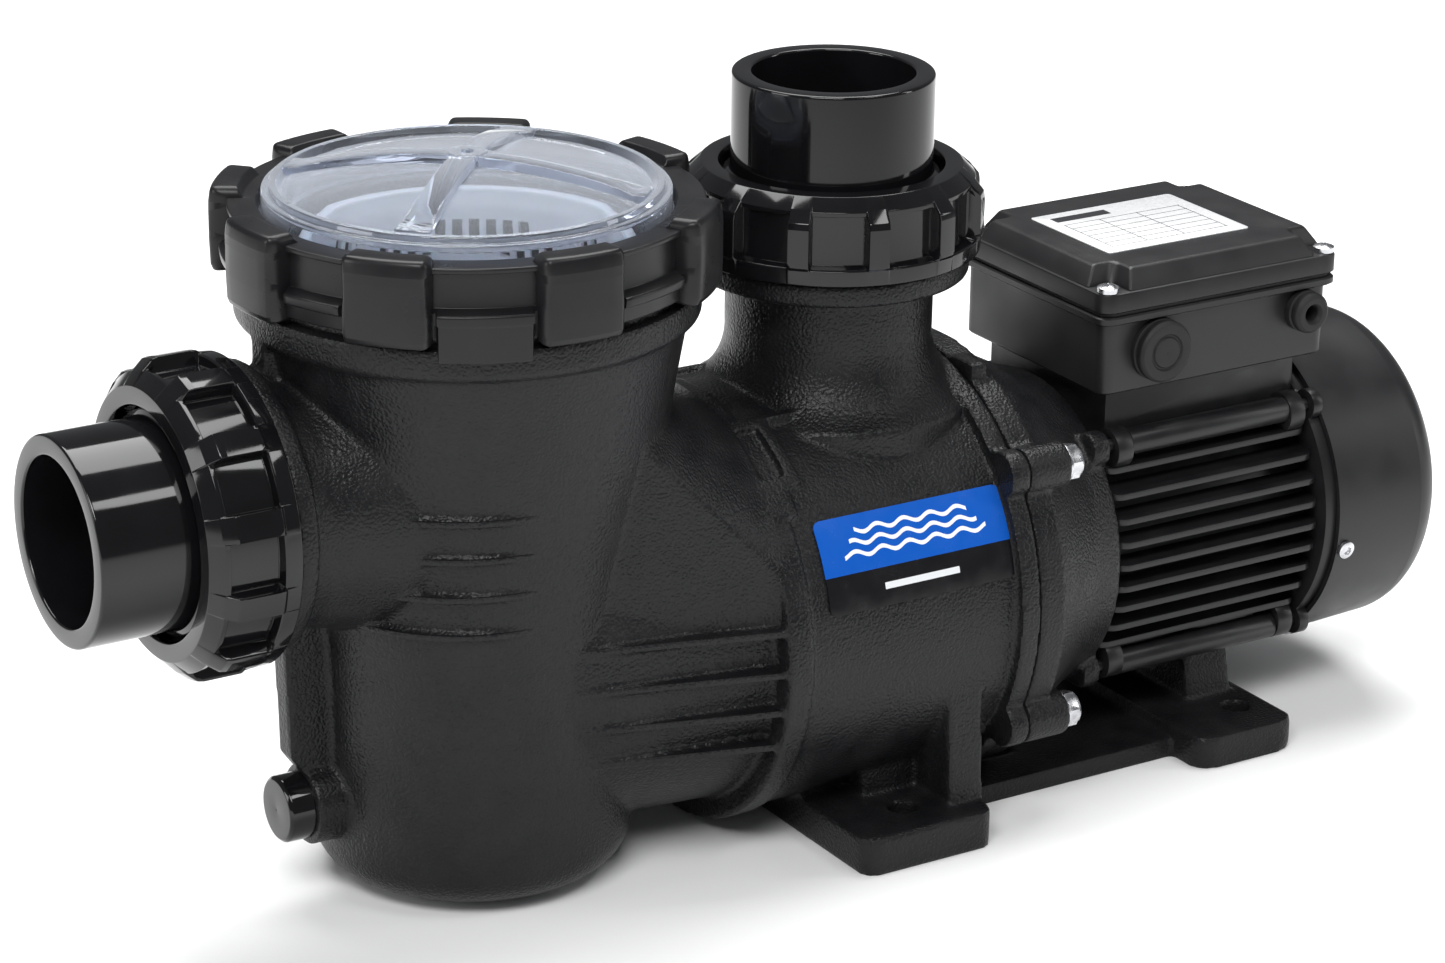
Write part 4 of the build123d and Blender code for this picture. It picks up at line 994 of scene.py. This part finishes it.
def plate_artwork():
    """Brushed foil with a printed table: a broad bar, thin rules and column lines, all blank."""
    material, shader = shader_of("rating_foil", (0.75, 0.76, 0.77), 0.35, metallic=0.35)
    x, y = flat_place(material, new_node(material, "ShaderNodeTexCoord"), "Object")
    left, right = (plate_low[0] + PLATE_MARGIN) * MM, (plate_high[0] - PLATE_MARGIN) * MM
    colour = (0.74, 0.75, 0.76)
    inside = band(material, x, left, right)
    for rule in range(RULES):
        at = (plate_low[1] + PLATE_MARGIN + RULE_STEP * rule) * MM
        line = times(material, inside, band(material, y, at, at + RULE_WIDTH * MM))
        colour = layer(material, line, colour, INK)
    lowest = plate_low[1] + PLATE_MARGIN
    tall = band(material, y, lowest * MM, (lowest + RULE_STEP * (RULES - 1)) * MM)
    for column in (0.0, 0.30, 0.62, 0.985):
        at = left + column * (right - left)
        line = times(material, tall, band(material, x, at, at + RULE_WIDTH * MM))
        colour = layer(material, line, colour, INK)
    bar = times(material, band(material, x, left, left + 26 * MM),
                band(material, y, (plate_high[1] - 10.5) * MM, (plate_high[1] - 5.0) * MM))
    colour = layer(material, bar, colour, (0.03, 0.03, 0.035))
    material.node_tree.links.new(colour, shader.inputs["Base Color"])
    vary(material, object_noise(material, 1.5), shader.inputs["Roughness"], 0.28, 0.38)
    raise_bump(material, object_noise(material, 0.3, 1.0), shader, 0.002)
    return material


settle(plate, "root", plate_artwork(), "rating_plate")

# %% [markdown]
# ## Small turned parts
# Plug, gland and drain plug are turned. The blind plug has a ring groove round its middle, and
# the gland has a hole for the cable.


# %% Plug, gland and drain plug
def turned_entry(name, node, section):
    """Part turned about an axis along -y through its node's middle, measured from the box wall."""
    low, high = span(node)
    centre = ((low[0] + high[0]) / 2, BOX_LOW[1] + 3.0, (low[2] + high[2]) / 2)
    obj = lathe(name, rounded(section, 0.5), centre, (0, -1, 0), (1, 0, 0), count=96)
    return settle(obj, "root", rubber_black, node)


turned_entry("blind_plug", "conduit_plug",
             [(0, -5), (9, -5), (9, 0), (12.3, 0.1), (12.3, 2.2), (11.5, 2.5, 0.2), (11.5, 3.0, 0.2),
              (12.2, 3.3), (12.2, 5.8, 1.2), (11.0, 7.0, 0.8), (7.4, 7.0, 0.4), (6.9, 6.2, 0.3),
              (6.2, 6.2, 0.3), (5.8, 7.0, 0.4), (0, 7.0)])
turned_entry("cable_gland_bush", "cable_gland",
             [(3.2, -5), (5, -5), (5, 0), (8.3, 0.1), (8.3, 3.0), (7.6, 3.4, 0.2), (7.6, 3.9, 0.2),
              (8.2, 4.3), (8.1, 6.6, 1.4), (6.6, 8.0, 0.9), (4.2, 8.0, 0.8), (3.2, 6.4, 0.6)])
drain_low, drain_high = span("drain_plug")
drain_mid = (drain_high[0], (drain_low[1] + drain_high[1]) / 2, (drain_low[2] + drain_high[2]) / 2)
drain_depth = drain_high[0] - drain_low[0]
drain = lathe("drain_plug_moulding", rounded(
    [(0, 0), (6.6, 0, 1.0), (7.2, 1.2, 0.4), (7.2, 9.6, 0.4), (12.0, 9.8, 0.3), (12.5, 10.4), (12.5, 13.2),
     (11.8, 13.6, 0.2), (11.8, 14.2, 0.2), (12.4, 14.6), (12.3, drain_depth - 1.2, 1.2),
     (11.0, drain_depth, 1.0), (0, drain_depth)]), drain_mid, (-1, 0, 0), (0, 0, 1), count=96)
settle(drain, "drain_plug", union_black, "drain_plug")

# %% [markdown]
# A node of fasteners holds several solids. Each solid's box gives the spot for its finer copy.
# Hexagon heads are a prism cut by a cone. Screw heads are a dome on a polar grid, with a cross
# or a round socket sunk in it.

# %% Heads of bolts and screws
BOLT_TURN = math.radians(12)


def hexagon_head(name, centre, axis, radial, across, height):
    """Hexagon prism cut by a cone at its free end, as a turned bolt head is chamfered."""
    w, u, v = axes(axis, radial)
    angles = np.arange(24) / 24 * 2 * np.pi
    hexagon = across / 2 / np.cos((angles + BOLT_TURN) % (np.pi / 3) - np.pi / 6)
    tip = np.minimum(hexagon, across / 2 * 0.97)
    levels = [(0.0, hexagon), (height * 0.78, hexagon), (height, tip), (height, tip * 0.4)]
    around = np.cos(angles)[:, None] * u + np.sin(angles)[:, None] * v
    loops = [np.array(centre) + along * w + r[:, None] * around for along, r in levels]
    return stack(name, loops)


def spots_of(node):
    """Middle, lowest and highest corner of every solid in a node, in a fixed order."""
    work = bmesh.new()
    work.from_mesh(frame["nodes"][node].data)
    bmesh.ops.remove_doubles(work, verts=work.verts, dist=MERGE_DISTANCE)
    work.verts.ensure_lookup_table()
    seen, spots = set(), []
    for start in work.verts:
        if start.index in seen:
            continue
        group, front = [], [start]
        seen.add(start.index)
        while front:
            vert = front.pop()
            group.append(vert.co)
            for edge in vert.link_edges:
                other = edge.other_vert(vert)
                if other.index not in seen:
                    seen.add(other.index)
                    front.append(other)
        points = np.array(group) / MM
        low, high = points.min(0), points.max(0)
        spots.append(((low + high) / 2, low, high))
    work.free()
    return sorted(spots, key=lambda spot: tuple(np.round(spot[1], 1)))


def pan_head(name, centre, axis, radial, radius, height, recess):
    """Domed head on a polar grid: height falls with the square of the radius, less a cross
    or round socket cut near the middle."""
    w, u, v = axes(axis, radial)
    radii = np.concatenate([[0.0], np.linspace(0.12, 0.9, 12), [0.96, 1.0, 1.0]]) * radius
    angles = np.arange(48) / 48 * 2 * np.pi
    x, y = radii[:, None] * np.cos(angles), radii[:, None] * np.sin(angles)
    arm = np.minimum(np.abs(x), np.abs(y)) < radius * 0.13
    cross = arm & (np.maximum(np.abs(x), np.abs(y)) < radius * 0.55)
    socket = radii[:, None] < radius * 0.42
    cut = cross if recess == "cross" else socket
    top = height * (1 - 0.35 * (radii / radius) ** 2)[:, None] - 0.45 * height * cut
    top[-1] = 0.0
    points = np.array(centre) + x[..., None] * u + y[..., None] * v + top[..., None] * w
    rows, columns = points.shape[:2]
    faces = quads(rows, columns, False, True).tolist() + [list(range((rows - 1) * columns, rows * columns))]
    return keep_mesh(name, points.reshape(-1, 3), faces)


# %% [markdown]
# Now the fasteners themselves: bolts with shanks, washers, and the box and cover screws.

# %% Bolts, washers and screws
BOLT_ACROSS, BOLT_HEAD = 13.0, 5.4
bolts = []
for middle, low, high in spots_of("flange_bolts"):
    bolts.append(hexagon_head("bolt", (high[0] - BOLT_HEAD, middle[1], middle[2]), (1, 0, 0), (0, 1, 0),
                              BOLT_ACROSS, BOLT_HEAD))
    shank = lathe("shank", rounded([(0, low[0] - high[0] + 0.2), (3.4, low[0] - high[0] + 0.2, 0.4),
                                    (3.7, low[0] - high[0] + 0.8, 0.2), (3.7, -5.6), (0, -5.6)]),
                  (high[0], middle[1], middle[2]), (1, 0, 0), (0, 1, 0), count=24)
    bolts.append(shank)
heads = joined("flange_bolt_set", bolts)
shade(heads, 25)
settle(heads, "root", zinc, "flange_bolts")
washer = rounded([(4.0, 0), (7.6, 0), (7.6, 1.2), (4.0, 1.2)], 0.25)
washers = [lathe("washer", washer, (low[0], middle[1], middle[2]), (1, 0, 0), (0, 1, 0), count=48)
           for middle, low, high in spots_of("flange_washers")]
settle(joined("flange_washer_set", washers), "root", zinc, "flange_washers")
lid_screws = [pan_head("lid_screw", (*middle[:2], low[2]), (0, 0, 1), (0.8, 0.6, 0), 4.2, 3.0, "cross")
              for middle, low, high in spots_of("box_screws")]
settle(joined("box_screw_set", lid_screws), "root", zinc, "box_screws")
cover_screws = []
for middle, low, high in spots_of("fan_cover_screws"):
    out = np.array([0.0, middle[1], middle[2] - SHAFT_Z])
    reach = np.linalg.norm(out)
    out /= reach
    foot = np.array([middle[0], 0, SHAFT_Z]) + out * (reach - 1.0)
    cover_screws.append(pan_head("cover_screw", foot, out, (1, 0, 0), 3.6, 2.1, "socket"))
settle(joined("cover_screw_set", cover_screws), "root", zinc, "fan_cover_screws")

# %% [markdown]
# ## Body label
# The label is a thin film with rounded corners, wrapped round the volute. It is a grid in two
# directions, along the shaft and round it; its corners are rounded by pulling the rows in. The
# artwork is plain: a blue field over a black one, with three water waves in white.

# %% The label
LABEL_X, LABEL_R = (-49.0, 32.9), 82.25
LABEL_TURN = np.radians([167.8, 143.2])
LABEL_CORNER, LABEL_ARC = 3.0, 35.2


def label_film():
    """Patch of a cylinder. Row ends are pulled in by the corner circle's sagitta."""
    late = LABEL_ARC - LABEL_CORNER
    up = np.concatenate([np.linspace(0, LABEL_CORNER, 7)[:-1], np.linspace(LABEL_CORNER, late, 15)[:-1],
                         np.linspace(late, LABEL_ARC, 7)])
    short = np.maximum(LABEL_CORNER - np.minimum(up, LABEL_ARC - up), 0)
    pull = LABEL_CORNER - np.sqrt(LABEL_CORNER ** 2 - short ** 2)
    share = np.linspace(0, 1, 41)
    start, end = LABEL_X[0] + pull, LABEL_X[1] - pull
    x = start[:, None] + (end - start)[:, None] * share
    turn = LABEL_TURN[0] + up / LABEL_ARC * (LABEL_TURN[1] - LABEL_TURN[0])
    angle = np.broadcast_to(turn[:, None], x.shape)
    sheets = [np.stack([x, radius * np.cos(angle), SHAFT_Z + radius * np.sin(angle)], -1)
              for radius in (LABEL_R, LABEL_R + 0.28)]
    rows, columns = x.shape
    count = rows * columns
    faces = [quads(rows, columns, False, False), quads(rows, columns, False, False, count)]
    edge = np.concatenate([np.arange(columns), np.arange(1, rows) * columns + columns - 1,
                           (rows - 1) * columns + np.arange(columns - 2, -1, -1),
                           np.arange(rows - 2, 0, -1) * columns])
    rim = np.stack([edge, np.roll(edge, -1), np.roll(edge, -1) + count, edge + count], -1)
    return keep_mesh("label_film", np.concatenate([sheet.reshape(-1, 3) for sheet in sheets]),
                     np.concatenate([*faces, rim]).tolist())


def map_label(obj):
    """Label map: share of the length along x, share of the arc from the lower edge."""
    corners = np.zeros(len(obj.data.loops), int)
    obj.data.loops.foreach_get("vertex_index", corners)
    points = np.zeros(len(obj.data.vertices) * 3)
    obj.data.vertices.foreach_get("co", points)
    x, y, z = points.reshape(-1, 3).T / MM
    turn = np.arctan2(z - SHAFT_Z, y)
    along = (x - LABEL_X[0]) / (LABEL_X[1] - LABEL_X[0])
    low, high = LABEL_TURN
    uv = np.stack([along, (turn - low) / (high - low)], -1)[corners]
    obj.data.uv_layers.new(name="label_map").data.foreach_set("uv", uv.ravel())


def label_artwork():
    """Film whose colour comes from the patch's own map: blue above, black below, waves between."""
    material, shader = shader_of("label_film", (0.0, 0.1, 0.5), 0.3)
    place = new_node(material, "ShaderNodeUVMap")
    place.uv_map = "label_map"
    across, height = flat_place(material, place, "UV")
    blue_field = maths(material, "GREATER_THAN", height, 0.40)
    colour = layer(material, blue_field, (0.004, 0.004, 0.005), (0.002, 0.085, 0.44))
    swing = times(material, maths(material, "SINE", times(material, across, 44.0)), 0.028)
    for step, middle in enumerate((0.59, 0.71, 0.83)):
        rise = maths(material, "SUBTRACT", maths(material, "SUBTRACT", height, middle), swing)
        run = band(material, across, 0.12 + 0.04 * step, 0.88 - 0.04 * step)
        crest = times(material, band(material, rise, -0.022, 0.022), run)
        colour = layer(material, crest, colour, (0.80, 0.82, 0.84))
    stripe = times(material, band(material, height, 0.17, 0.24), band(material, across, 0.30, 0.70))
    colour = layer(material, stripe, colour, (0.72, 0.74, 0.76))
    material.node_tree.links.new(colour, shader.inputs["Base Color"])
    vary(material, object_noise(material, 8.0), shader.inputs["Roughness"], 0.18, 0.28)
    raise_bump(material, object_noise(material, 2.5, 1.0), shader, 0.006)
    return material


film = label_film()
map_label(film)
settle(film, "root", label_artwork(), "body_label")
